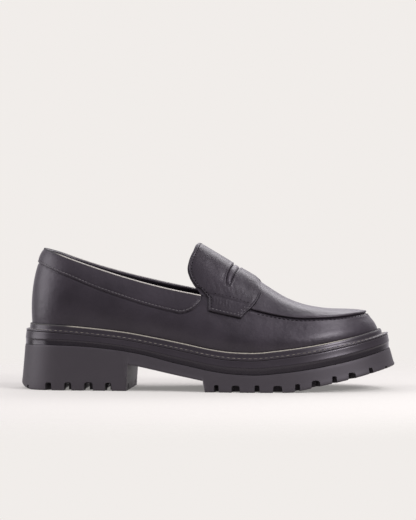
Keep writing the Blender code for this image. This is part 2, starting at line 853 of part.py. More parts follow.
def build_insole():
    """Make the insole: the sock and its board inside the upper."""
    theta = round_angles()[:, None]
    spread = np.array([-WALL - 0.7, -WALL - 0.5, -WALL - 1.2])
    height = np.array([0.0, INSOLE_BOARD - 0.8, INSOLE_BOARD])
    rings = level_ring(theta, np.broadcast_to(spread, (ROUND, len(spread))), height[None, :])
    shell = Shell()
    index = shell.add(rings)
    shell.quads(index, wrap=True)
    add_caps(shell, index[:, 0])
    add_caps(shell, index[:, -1])
    return shell.build("insole", finish_of("insole_sock", LINING_BLACK))


def underside(station):
    """Return the height of the outsole's underside at a station."""
    heel = smooth(HEEL_SEAT, station)
    arch = smooth(ARCH, station)
    tread = smooth(TOE_SPRING, station)
    split = [station < HEEL_BREAST + 0.01, station < TREAD_STEP + 0.01]
    return np.select(split, [heel, arch], tread)


def outsole_angles():
    """Return the angles of the outsole's sections, with its breast and its tread step among them."""
    edges = [HEEL_BREAST, HEEL_BREAST + BREAST_LEAN, TREAD_STEP, TREAD_STEP + STEP_LEAN]
    extra = [float(angle_at(edge, FEATHER_REAR, FEATHER_TOE, -1)) for edge in edges]
    near = list(round_angles()[:TOE_ROW + 1])
    close = 0.02
    kept = [a for a in near if all(abs(a - b) > close for b in extra)]
    half = sorted(kept + extra)
    return np.array(half + [2 * math.pi - angle for angle in half[-2:0:-1]])


def outsole_rings():
    """Return the rings of the outsole's side, from its top edge down to its underside."""
    theta = outsole_angles()
    foot = feather(theta)
    station = foot[:, 0]
    out = outward(theta)
    spread = smooth(EDGE, station) / EDGE_SPREAD
    # the stepped stretch between the heel and the toe is read at the feather edge's own stations
    stepped = (station > 30.0) & (station < 200.0)
    rings = []
    for wide, share, lift in SIDE_SECTION:
        tip = (ease(station, 235.0, 273.5) * TOE_FLARE + ease(station, 34.0, 8.0) * HEEL_FLARE) * share
        ring = foot + out * (wide * spread + tip)[:, None]
        head = smooth(BED, ring[:, 0]) - smooth(MIDSOLE_FOOT, ring[:, 0]) - GAP
        sole = underside(np.where(stepped, station, ring[:, 0])) + lift
        ring[:, 2] = head + (sole - head) * share
        rings.append(ring)
    return np.stack(rings, axis=1)


def build_outsole_block():
    """Make the outsole before its notches and channels are cut."""
    rings = outsole_rings()
    shell = Shell()
    index = shell.add(rings)
    shell.quads(index, wrap=True)
    middle = index.shape[0] // 2
    for column in (0, -1):
        ring = index[:, column]
        near = ring[:middle + 1]
        far = np.concatenate([ring[:1], ring[:middle - 1:-1]])
        shell.strip(near, far)
    return shell.build("outsole", finish_of("outsole_rubber", SOLE_MATT))


def notch_cutter(shell, station, width, height, side):
    """Add one notch's cutter: a wedge with a rounded roof that runs in from the edge."""
    theta = np.array([float(angle_at(station, FEATHER_REAR, FEATHER_TOE, side))])
    foot = feather(theta)[0]
    out = outward(theta)[0]
    along = np.array([-out[1], out[0], 0.0])
    edge = float(smooth(EDGE, [foot[0]])[0]) / EDGE_SPREAD * 10.0
    floor = float(underside(foot[0] + out[0] * edge * 0.6))
    half = width / 2
    roof = floor + height
    foot_z = floor - CUT_BELOW
    profile = [(-half * 1.12, foot_z), (half * 1.12, foot_z), (half * 0.86, roof - half * 0.45),
               (half * 0.45, roof), (-half * 0.45, roof), (-half * 0.86, roof - half * 0.45)]
    inner = foot + out * (edge - NOTCH_REACH)
    outer = foot + out * (edge + CUT_BEYOND)
    loops = []
    for end in (inner, outer):
        loops.append([(end[0] + along[0] * a, end[1] + along[1] * a, z) for a, z in profile])
    index = shell.add(np.array(loops))
    shell.strip(index[0], index[1], wrap=True)
    shell.faces.append(tuple(index[0]))
    shell.faces.append(tuple(index[1][::-1]))


def build_notch_cutters():
    """Make the cutters of all notches round the heel and the forefoot."""
    shell = Shell()
    for station, width, height in HEEL_NOTCHES + TREAD_NOTCHES:
        for side in (-1, 1):
            notch_cutter(shell, station, width, height, side)
    return shell


def channel_loop(shell, first, middle, floor_rows):
    """Add the cutter of the channel inside the edge lugs, from a station round by an end of the shoe."""
    start = float(angle_at(first, FEATHER_REAR, FEATHER_TOE, -1))
    theta = np.linspace(start, 2 * middle - start, CHANNEL_SECTIONS)
    foot = feather(theta)
    out = outward(theta)
    floor = smooth(floor_rows, foot[:, 0] + out[:, 0] * CHANNEL_SPREAD)
    near, far = CHANNEL_SPREAD, CHANNEL_SPREAD - CHANNEL
    sections = []
    for inset, lift in ((near, -CUT_BELOW), (near, CHANNEL_ROOF), (far, CHANNEL_ROOF), (far, -CUT_BELOW)):
        ring = foot + out * inset
        ring[:, 2] = floor + lift
        sections.append(ring)
    index = shell.add(np.stack(sections, axis=1))
    shell.quads(np.concatenate([index, index[:, :1]], axis=1))
    shell.faces.append(tuple(index[0]))
    shell.faces.append(tuple(index[-1][::-1]))


def cross_cut(shell, station):
    """Add the cutter of a groove straight across the middle of the tread, between the channel's sides."""
    half = float(smooth(FEATHER, [station], 2)[0]) + CHANNEL_SPREAD - CHANNEL / 2
    centre = float(smooth(FEATHER, [station], 1)[0])
    floor = float(underside(np.array([station]))[0])
    wide = GROOVE_HALF
    low, roof = floor - CUT_BELOW, floor + GROOVE_ROOF
    profile = [(-wide, low), (wide, low), (wide, roof), (-wide, roof)]
    loops = [[(station + a, centre + end * half, z) for a, z in profile] for end in (-1, 1)]
    index = shell.add(np.array(loops))
    shell.strip(index[0], index[1], wrap=True)
    shell.faces.append(tuple(index[0]))
    shell.faces.append(tuple(index[1][::-1]))


def hide_as_guide(thing):
    """Mark an object as a cutter that isn't part of the shoe."""
    thing.hide_render = True
    thing.display_type = "WIRE"


def build_outsole():
    """Make the outsole and cut its edge notches, its channels and its cross grooves."""
    block = build_outsole_block()
    plain = block.data.materials[0]
    notches = build_notch_cutters().build("cut_notches", plain)
    channels = Shell()
    channel_loop(channels, HEEL_BREAST + 5.0, 0.0, HEEL_SEAT)
    channel_loop(channels, TREAD_STEP - 4.0, math.pi, TOE_SPRING)
    loops = channels.build("cut_channels", plain)
    grooves = Shell()
    for station in CROSS_GROOVES:
        cross_cut(grooves, station)
    across = grooves.build("cut_grooves", plain)
    for cutter in (loops, notches, across):
        hide_as_guide(cutter)
        cut = block.modifiers.new(cutter.name, "BOOLEAN")
        cut.operation = "DIFFERENCE"
        cut.solver = "EXACT"
        cut.object = cutter
    return block


def shoe_origin():
    """Return the point on the floor under the middle of the sole."""
    rings = outsole_rings().reshape(-1, 3)
    low = rings.min(axis=0)
    high = rings.max(axis=0)
    return ((low[0] + high[0]) / 2, (low[1] + high[1]) / 2, 0.0)


def build_shoe():
    """Build all pieces of the shoe."""
    for thing in list(bpy.data.objects):
        bpy.data.objects.remove(thing, do_unlink=True)
    build_outsole()
    build_midsole()
    build_welt()
    build_insole()
    build_upper()
    build_collar()
    build_saddle()


ORIGIN = shoe_origin()
build_shoe()
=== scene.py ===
"""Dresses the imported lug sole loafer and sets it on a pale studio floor.

Shapes are worked out in millimetres, in stations from the rear of the heel as the solids are, and place()
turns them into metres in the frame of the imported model. The camera looks at the outer side of a right shoe.
"""

import logging
import math
from dataclasses import dataclass
from enum import Enum

import bmesh
import bpy
import numpy as np
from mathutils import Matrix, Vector
from numpy.typing import NDArray


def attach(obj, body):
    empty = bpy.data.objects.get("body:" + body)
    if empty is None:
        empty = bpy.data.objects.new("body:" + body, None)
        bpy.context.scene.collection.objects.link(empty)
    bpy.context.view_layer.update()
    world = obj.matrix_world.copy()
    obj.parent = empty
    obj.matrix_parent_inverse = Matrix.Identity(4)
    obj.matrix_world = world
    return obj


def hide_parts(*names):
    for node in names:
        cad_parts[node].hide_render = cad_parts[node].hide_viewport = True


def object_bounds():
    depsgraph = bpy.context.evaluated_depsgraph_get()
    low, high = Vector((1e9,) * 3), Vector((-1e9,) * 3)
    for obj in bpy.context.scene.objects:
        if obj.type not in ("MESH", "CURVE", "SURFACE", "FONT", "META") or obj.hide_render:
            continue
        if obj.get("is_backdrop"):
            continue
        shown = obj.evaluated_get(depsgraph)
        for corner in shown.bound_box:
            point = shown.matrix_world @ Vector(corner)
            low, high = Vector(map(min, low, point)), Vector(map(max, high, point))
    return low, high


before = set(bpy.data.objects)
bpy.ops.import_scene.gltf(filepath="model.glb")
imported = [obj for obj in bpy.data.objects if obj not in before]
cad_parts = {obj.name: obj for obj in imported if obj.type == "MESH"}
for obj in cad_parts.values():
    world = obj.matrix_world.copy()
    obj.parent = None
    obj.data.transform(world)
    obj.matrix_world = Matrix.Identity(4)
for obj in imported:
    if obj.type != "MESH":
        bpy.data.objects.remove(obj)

Points = NDArray[np.float64]
Rows = tuple[tuple[float, ...], ...]

LOG = logging.getLogger("loafer")
MM = 0.001
ORIGIN = np.array([142.9357143, -0.7862925, 0.0])
UP = np.array([0.0, 0.0, 1.0])
WELD = 2.0e-6


class Side(Enum):
    """The two sides of the shoe."""

    OUTER = -1
    INNER = 1


def place(points: Points) -> Points:
    """Turn millimetres from the heel's rear into metres from the shoe's origin."""
    return (points - ORIGIN) * MM


def unit(vectors: Points) -> Points:
    """Return vectors at length 1."""
    return vectors / np.maximum(np.linalg.norm(vectors, axis=-1, keepdims=True), 1e-12)


def ease(at: Points, start: float, end: float) -> Points:
    """Return 0 before start, 1 after end, and between them the step 3t^2 - 2t^3."""
    t = np.clip((np.asarray(at, dtype=float) - start) / (end - start), 0.0, 1.0)
    return t * t * (3 - 2 * t)


def hump(at: Points, middle: float, width: float) -> Points:
    """Return a bell curve exp(-((at - middle) / width)^2)."""
    return np.exp(-(((np.asarray(at, dtype=float) - middle) / width) ** 2))


def around(count: int) -> Points:
    """Return even angles all round, from 0."""
    return np.arange(count) * 2 * math.pi / count


def away_from(spot: Points, start: Points, end: Points) -> Points:
    """Return the distance of points from a straight line between two ends."""
    run = end - start
    t = np.clip(((spot - start) @ run) / (run @ run), 0.0, 1.0)
    return np.linalg.norm(spot - start - t[..., None] * run, axis=-1)


class Table:
    """Rows of a key and its values, read as curves that are smooth in slope and bend.

    A monotone cubic goes through the rows, runs on straight past both ends and is averaged by a bell curve.
    """

    def __init__(self, rows: Rows, soften: float) -> None:
        """Work out the curves.

        Args:
            rows: Rows of a key and one or more values, with the keys rising.
            soften: Width of the bell curve, in the unit of the key.
        """
        table = np.array(rows, dtype=float).T
        knots = table[0]
        step = (knots[-1] - knots[0]) / 2400
        pad = int(4 * soften / step) + 1
        wide = knots[0] + step * np.arange(-pad, 2401 + pad)
        bell = np.exp(-0.5 * (np.arange(-pad, pad + 1) * step / soften) ** 2)
        self.keys = wide[pad:-pad]
        through = [self._through(knots, row, wide) for row in table[1:]]
        self.curves = [np.convolve(curve, bell / bell.sum(), "valid") for curve in through]

    @staticmethod
    def _through(knots: Points, values: Points, at: Points) -> Points:
        """Return the monotone cubic through the knots, straight past its ends.

        Args:
            knots: Keys of the rows.
            values: Values of the rows.
            at: Keys to read.

        Returns:
            The value at each key.
        """
        step = np.diff(knots)
        rise = np.diff(values) / step
        slope = np.concatenate([rise[:1], np.zeros(len(knots) - 2), rise[-1:]])
        together = rise[:-1] * rise[1:]
        total = np.where(together > 0, rise[:-1] + rise[1:], 1.0)
        slope[1:-1] = np.where(together > 0, 2 * together / total, 0.0)
        inside = np.clip(at, knots[0], knots[-1])
        cell = np.clip(np.searchsorted(knots, inside, side="right") - 1, 0, len(step) - 1)
        t = (inside - knots[cell]) / step[cell]
        start = values[cell] * (1 + 2 * t) * (1 - t) ** 2 + slope[cell] * step[cell] * t * (1 - t) ** 2
        end = values[cell + 1] * t**2 * (3 - 2 * t) + slope[cell + 1] * step[cell] * t**2 * (t - 1)
        past = slope[0] * np.minimum(at - knots[0], 0.0) + slope[-1] * np.maximum(at - knots[-1], 0.0)
        return start + end + past

    def __call__(self, at: Points, column: int = 1) -> Points:
        """Read one column at given keys, which are held inside the rows.

        Args:
            at: Keys to read.
            column: Column of the rows, from 1.

        Returns:
            The value at each key.
        """
        return np.interp(np.asarray(at, dtype=float), self.keys, self.curves[column - 1])


def station_at(theta: Points, rear: float, toe: float) -> Points:
    """Return the station at an angle round the shoe: 0 is the heel's rear and pi the toe."""
    return rear + (toe - rear) * (1 - np.cos(theta)) / 2


def angle_at(station: Points, rear: float, toe: float, side: Side) -> Points:
    """Return the angle round the shoe of a station on one side, the inverse of station_at."""
    level = np.clip(1 - 2 * (np.asarray(station, dtype=float) - rear) / (toe - rear), -1.0, 1.0)
    angle = np.arccos(level)
    return angle if side is Side.OUTER else 2 * math.pi - angle


def bezier(points: tuple[Points, ...], t: Points) -> Points:
    """Return the cubic Bezier curve of four arrays of control points at t."""
    t = t[..., None]
    first, second, third, last = points
    return (
        first * (1 - t) ** 3 + 3 * second * t * (1 - t) ** 2 + 3 * third * t**2 * (1 - t) + last * t**3
    )


@dataclass(frozen=True)
class Last:
    """The form that the shoe is made on: every layer is an offset of its surface.

    Stations run from the heel's rear. Columns: feather and topline have station, centre, half width (topline
    also height and how much higher the inner side is); ridge has station, centre, height; swell has the
    station and two pairs of an outward lean and its share of the wall's height.
    """

    feather_rear: float = 7.4
    feather_toe: float = 273.5
    top_rear: float = 17.2
    top_toe: float = 263.4
    feather_rows: Table = Table(
        (
            (7.4, 0.0, 29.0), (35.0, 0.0, 29.6), (60.0, -0.6, 29.8), (82.0, -2.0, 30.2), (104.0, -3.6, 31.4),
            (129.0, -4.4, 34.6), (149.0, -4.0, 38.6), (165.0, -3.0, 41.5), (181.0, -2.0, 43.2),
            (199.0, -1.0, 43.8), (222.0, 0.5, 43.6), (246.0, 2.4, 43.2), (273.5, 4.5, 43.0),
        ),
        5.0,
    )
    bed: Table = Table(
        (
            (-4.0, 49.2), (12.0, 49.0), (35.0, 48.0), (60.0, 45.8), (82.0, 43.3), (104.0, 39.5),
            (129.0, 34.7), (149.0, 30.6), (165.0, 28.6), (181.0, 28.2), (199.0, 30.0), (222.0, 33.1),
            (246.0, 37.7), (262.0, 41.4), (273.5, 44.4), (290.0, 49.6),
        ),
        4.0,
    )
    top_rows: Table = Table(
        (
            (17.2, 0.0, 21.5, 107.6, 0.0), (27.0, 0.0, 22.6, 104.4, 0.0), (40.0, 0.0, 24.0, 99.6, 0.0),
            (60.0, -0.3, 25.5, 92.7, 0.5), (80.0, -0.8, 26.5, 86.4, 1.4), (100.0, -1.5, 27.8, 80.9, 2.0),
            (120.0, -2.0, 29.5, 76.3, 2.2), (141.0, -2.2, 31.8, 72.3, 1.6), (160.0, -1.8, 33.2, 67.4, 0.6),
            (179.0, -1.0, 33.8, 62.2, 0.0), (200.0, 0.0, 34.2, 57.4, 0.0), (217.0, 1.0, 34.0, 55.4, 0.0),
            (240.0, 2.5, 33.5, 56.0, 0.0), (263.4, 4.5, 33.0, 58.6, 0.0),
        ),
        4.0,
    )
    ridge_rows: Table = Table(
        (
            (120.0, -0.5, 119.0), (137.0, -0.4, 109.6), (149.0, -0.2, 102.4), (158.5, 0.0, 96.8),
            (168.0, 0.1, 91.0), (180.0, 0.3, 82.9), (191.0, 0.6, 75.4), (205.0, 1.2, 67.2),
            (223.0, 2.0, 61.6), (236.0, 2.9, 59.9), (248.0, 3.7, 59.7),
        ),
        3.5,
    )
    swell: Table = Table(
        (
            (8.0, 2.0, 0.4, 8.2, 0.24), (35.0, 4.0, 0.38, 6.6, 0.26), (60.0, 5.2, 0.36, 5.8, 0.3),
            (110.0, 5.5, 0.36, 6.0, 0.33), (150.0, 4.8, 0.4, 6.5, 0.36), (180.0, 4.2, 0.42, 7.0, 0.38),
            (217.0, 2.8, 0.42, 6.0, 0.35), (250.0, 1.2, 0.4, 5.2, 0.28), (273.5, -0.4, 0.36, 4.2, 0.2),
        ),
        7.0,
    )
    apron_lag: Table = Table(((185.0, 0.0), (210.0, 1.5), (240.0, 8.5), (263.4, 19.0)), 4.0)
    apron_rise: Table = Table(
        ((160.0, 62.0), (180.0, 50.0), (200.0, 40.0), (225.0, 28.0), (250.0, 16.0), (263.4, 8.0)), 5.0
    )
    edge: Table = Table(((8.0, 4.6), (60.0, 5.2), (130.0, 6.2), (200.0, 7.0), (273.5, 7.8)), 5.0)
    edge_spread: float = 7.0

    def _outline(self, theta: Points, rows: Table, ends: tuple[float, float, float, float]) -> Points:
        """Return the closed curve of a table: its centre plus or minus its half width, rounded at both ends.

        Args:
            theta: Angles round the shoe.
            rows: Table of station, centre and half width.
            ends: Rear station, toe station, length of the heel's round and of the toe's round.

        Returns:
            Points on the curve, with height 0.
        """
        rear, toe, heel_round, toe_round = ends
        station = station_at(theta, rear, toe)
        back = np.clip(1 - (station - rear) / heel_round, 0.0, 1.0)
        ahead = np.clip(1 - (toe - station) / toe_round, 0.0, 1.0)
        half = rows(station, 2) * np.sqrt(1 - back**2.3) * np.sqrt(1 - ahead**2.35)
        side = np.where(np.sin(theta) > 0, -1.0, 1.0)
        return np.stack([station, rows(station) + side * half, 0 * station], axis=-1)

    def feather(self, theta: Points) -> Points:
        """Return the feather edge, where the upper meets the welt, on the bed."""
        ring = self._outline(theta, self.feather_rows, (self.feather_rear, self.feather_toe, 30.0, 74.0))
        ring[..., 2] = self.bed(ring[..., 0])
        return ring

    def top(self, theta: Points) -> Points:
        """Return the topline and, in front of the tongue, the apron's seam, as one closed curve."""
        ring = self._outline(theta, self.top_rows, (self.top_rear, self.top_toe, 27.0, 56.0))
        inner = 0.5 - 0.5 * np.tanh(np.sin(theta) * 12.0)
        ring[..., 2] = self.top_rows(ring[..., 0], 3) + inner * self.top_rows(ring[..., 0], 4)
        return ring

    def outward(self, theta: Points) -> Points:
        """Return the level unit vector out of the feather edge, across its tangent."""
        step = 0.012
        along = self.feather(theta + step) - self.feather(theta - step)
        return unit(np.stack([along[..., 1], -along[..., 0], 0 * along[..., 0]], axis=-1))

    def wall(self, theta: Points) -> tuple[Points, ...]:
        """Return the four control points of the side wall's section."""
        foot = self.feather(theta)
        head = self.top(theta)
        out = self.outward(theta)
        rise = (head - foot)[..., 2:3] * UP
        at = foot[..., 0]
        low = foot + out * self.swell(at, 1)[..., None] + rise * self.swell(at, 2)[..., None]
        high = head + out * self.swell(at, 3)[..., None] - rise * self.swell(at, 4)[..., None]
        return foot, low, high, head

    def wall_length(self, theta: Points) -> Points:
        """Return the length of the wall's section: the mean of its control legs and its chord."""
        foot, low, high, head = self.wall(theta)
        legs = [np.linalg.norm(b - a, axis=-1) for a, b in ((foot, low), (low, high), (high, head))]
        return (sum(legs) + np.linalg.norm(head - foot, axis=-1)) / 2

    def ridge(self, station: Points) -> Points:
        """Return the crest line of the tongue and the apron."""
        return np.stack([station, self.ridge_rows(station, 1), self.ridge_rows(station, 2)], axis=-1)

    def apron(self, theta: Points) -> tuple[Points, ...]:
        """Return the control points of half a section of the apron or tongue, from its seam to the ridge."""
        head = self.top(theta)
        station = head[..., 0]
        meeting = station - self.apron_lag(station)
        crest = self.ridge(meeting)
        slope = (self.ridge(meeting + 0.5) - self.ridge(meeting - 0.5))[..., 2]
        high = self.wall(theta)[2]
        level = (head - crest) * np.array([1.0, 1.0, 0.0])
        reach = np.linalg.norm(level, axis=-1, keepdims=True)
        free = ease(station, 158.0, 186.0)[..., None]
        rise = np.radians(self.apron_rise(station))[..., None]
        inward = np.sin(rise) * UP - np.cos(rise) * level / reach
        leaving = unit((1 - free) * unit(head - high) + free * inward)
        chord = np.linalg.norm(crest - head, axis=-1, keepdims=True)
        arriving = level / reach
        arriving[..., 2] = arriving[..., 0] * slope
        return head, head + leaving * chord * 0.36, crest + arriving * reach * 0.56, crest

    def surface(self, theta: Points, share: Points) -> Points:
        """Return the upper's outer face: share 0 to 1 climbs the wall, 1 to 2 the tongue and the apron."""
        theta, share = np.broadcast_arrays(np.asarray(theta, dtype=float), np.asarray(share, dtype=float))
        wall = bezier(self.wall(theta), np.minimum(share, 1.0))
        over = bezier(self.apron(theta), np.clip(share - 1.0, 0.0, 1.0))
        return np.where((share > 1.0)[..., None], over, wall)

    def normal(self, theta: Points, share: Points) -> Points:
        """Return the outward unit normal: steps round crossed with steps up, and the ridge's own on top."""
        theta, share = np.broadcast_arrays(np.asarray(theta, dtype=float), np.asarray(share, dtype=float))
        step = 0.004
        back = np.where((share > 1.0) & (share < 1.0 + step), 0.0, step)
        lower = np.where(share <= 1.0, np.maximum(share - back, 0.0), share - back)
        higher = np.minimum(share + step, np.where(share <= 1.0, 1.0, 2.0))
        along = self.surface(theta + 0.01, share) - self.surface(theta - 0.01, share)
        crossed = np.cross(along, self.surface(theta, higher) - self.surface(theta, lower))
        station = self.top_station(theta)
        meeting = station - self.apron_lag(station)
        run = self.ridge(meeting + 0.5) - self.ridge(meeting - 0.5)
        crest = np.stack([-run[..., 2], 0 * run[..., 0], run[..., 0]], axis=-1)
        return unit(np.where((share > 2.0 - 1e-9)[..., None], crest, crossed))

    def seam_normal(self, theta: Points) -> Points:
        """Return the normal halfway between the wall's and the apron's at the seam."""
        return unit(self.normal(theta, np.ones_like(theta)) + self.normal(theta, np.full_like(theta, 1.02)))

    def top_station(self, theta: Points) -> Points:
        """Return the station of the top curve at an angle."""
        return station_at(theta, self.top_rear, self.top_toe)

    def top_angle(self, station: Points, side: Side) -> Points:
        """Return the angle of a station of the top curve."""
        return angle_at(station, self.top_rear, self.top_toe, side)

    def ring(self, theta: Points, spread: Points, height: Points) -> Points:
        """Return a ring at a spread past the feather edge and a height over the bed under it.

        Args:
            theta: Angles round the shoe.
            spread: Distance out of the feather edge where the edge is at its nominal spread.
            height: Height over the bed.

        Returns:
            Points of the ring.
        """
        theta, spread, height = np.broadcast_arrays(theta, spread, height)
        foot = self.feather(theta)
        wide = np.where(spread > 0, spread * self.edge(foot[..., 0]) / self.edge_spread, spread)
        ring = foot + self.outward(theta) * wide[..., None]
        ring[..., 2] = self.bed(ring[..., 0]) + height
        return ring


class Skin:
    """Grids of points, in millimetres, that are welded into one closed mesh."""

    def __init__(self) -> None:
        """Start with no points."""
        self.points: list[Points] = []
        self.quads: list[Points] = []
        self.lids: list[list[int]] = []
        self.count = 0

    def add(self, grid: Points) -> Points:
        """Add a grid of points.

        Args:
            grid: Points, with the last axis holding x, y and z.

        Returns:
            The grid of their vertex numbers.
        """
        flat = grid.reshape(-1, 3)
        index = np.arange(self.count, self.count + len(flat)).reshape(grid.shape[:-1])
        self.points.append(flat)
        self.count += len(flat)
        return index

    def face(self, index: Points, wrap_rows: bool = False, wrap_columns: bool = False) -> None:
        """Face a grid of vertex numbers with quads, closed in either direction if asked."""
        if wrap_rows:
            index = np.concatenate([index, index[:1]], axis=0)
        if wrap_columns:
            index = np.concatenate([index, index[:, :1]], axis=1)
        corners = [index[:-1, :-1], index[1:, :-1], index[1:, 1:], index[:-1, 1:]]
        self.quads.append(np.stack(corners, axis=-1).reshape(-1, 4))

    def strip(self, one: Points, other: Points, wrap: bool = False) -> None:
        """Face the strip between two lines of vertex numbers."""
        self.face(np.stack([one, other], axis=1), wrap_rows=wrap)

    def lid(self, loop: Points) -> None:
        """Close a loop of vertex numbers with one face."""
        self.lids.append([int(i) for i in loop])

    def bar(self, sections: Points) -> None:
        """Add closed sections, one a row, faced from each to the next and with a lid on both ends."""
        index = self.add(sections)
        self.face(index, wrap_columns=True)
        self.lid(index[0])
        self.lid(index[-1][::-1])

    def rings(self, points: Points) -> None:
        """Add rings round the shoe, one a column, and close the first and the last from side to side."""
        index = self.add(points)
        self.face(index, wrap_rows=True)
        for column in (0, -1):
            ring = index[:, column]
            half = len(ring) // 2
            self.strip(ring[: half + 1], np.concatenate([ring[:1], ring[: half - 1 : -1]]))

    def sheets(self, near: Points, far: Points) -> None:
        """Add two sheets round the shoe and close them together along both edges."""
        one = self.add(near)
        two = self.add(far)
        self.face(one, wrap_rows=True)
        self.face(two, wrap_rows=True)
        for column in (0, -1):
            self.strip(one[:, column], two[:, column], wrap=True)

    def build(self, name: str, finish: bpy.types.Material, sharp: float = 50.0) -> bpy.types.Object:
        """Weld the grids and turn the faces outwards.

        Args:
            name: Name of the piece.
            finish: Its material.
            sharp: Edges that bend by more than this many degrees stay sharp.

        Returns:
            The piece, in the scene.
        """
        mesh = bpy.data.meshes.new(name)
        faces = np.concatenate(self.quads).tolist() if self.quads else []
        mesh.from_pydata(place(np.concatenate(self.points)).tolist(), [], faces + self.lids)
        shape = bmesh.new()
        shape.from_mesh(mesh)
        bmesh.ops.remove_doubles(shape, verts=shape.verts, dist=WELD)
        bmesh.ops.dissolve_degenerate(shape, edges=shape.edges, dist=WELD)
        bmesh.ops.recalc_face_normals(shape, faces=shape.faces)
        shape.to_mesh(mesh)
        shape.free()
        return finish_mesh(mesh, name, finish, sharp)


def finish_mesh(
    mesh: bpy.types.Mesh, name: str, finish: bpy.types.Material, sharp: float
) -> bpy.types.Object:
    """Shade a mesh smooth, give it its material and link it as an object at the origin.

    Args:
        mesh: The mesh, in metres.
        name: Name of the piece.
        finish: Its material.
        sharp: Edges that bend by more than this many degrees stay sharp.

    Returns:
        The piece.
    """
    mesh.shade_smooth()
    mesh.set_sharp_from_angle(angle=math.radians(sharp))
    mesh.materials.clear()
    mesh.materials.append(finish)
    piece = bpy.data.objects.new(name, mesh)
    bpy.context.scene.collection.objects.link(piece)
    return piece


def dress(piece: bpy.types.Object, slot: str, *nodes: str) -> bpy.types.Object:
    """Make a piece ride on the shoe's body and hide the solids that it stands for.

    Args:
        piece: The new piece.
        slot: Not used.
        nodes: Solids that the piece stands for.

    Returns:
        The piece.
    """
    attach(piece, "root")
    if nodes:
        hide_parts(*nodes)
    faces = sum(len(polygon.vertices) - 2 for polygon in piece.data.polygons)
    LOG.info("%s: %d triangles", piece.name, faces)
    return piece


class Wire:
    """A node's output, with Python's operators for shader maths on values."""

    def __init__(self, graph: "Graph", socket: bpy.types.NodeSocket) -> None:
        """Wrap a socket of a graph."""
        self.graph = graph
        self.socket = socket

    def __add__(self, other: "Wire | float") -> "Wire":
        """Return the sum."""
        return self.graph.maths("ADD", self, other)

    __radd__ = __add__

    def __sub__(self, other: "Wire | float") -> "Wire":
        """Return the difference."""
        return self.graph.maths("SUBTRACT", self, other)

    def __rsub__(self, other: "Wire | float") -> "Wire":
        """Return the difference with this one taken away."""
        return self.graph.maths("SUBTRACT", other, self)

    def __mul__(self, other: "Wire | float") -> "Wire":
        """Return the product."""
        return self.graph.maths("MULTIPLY", self, other)

    __rmul__ = __mul__


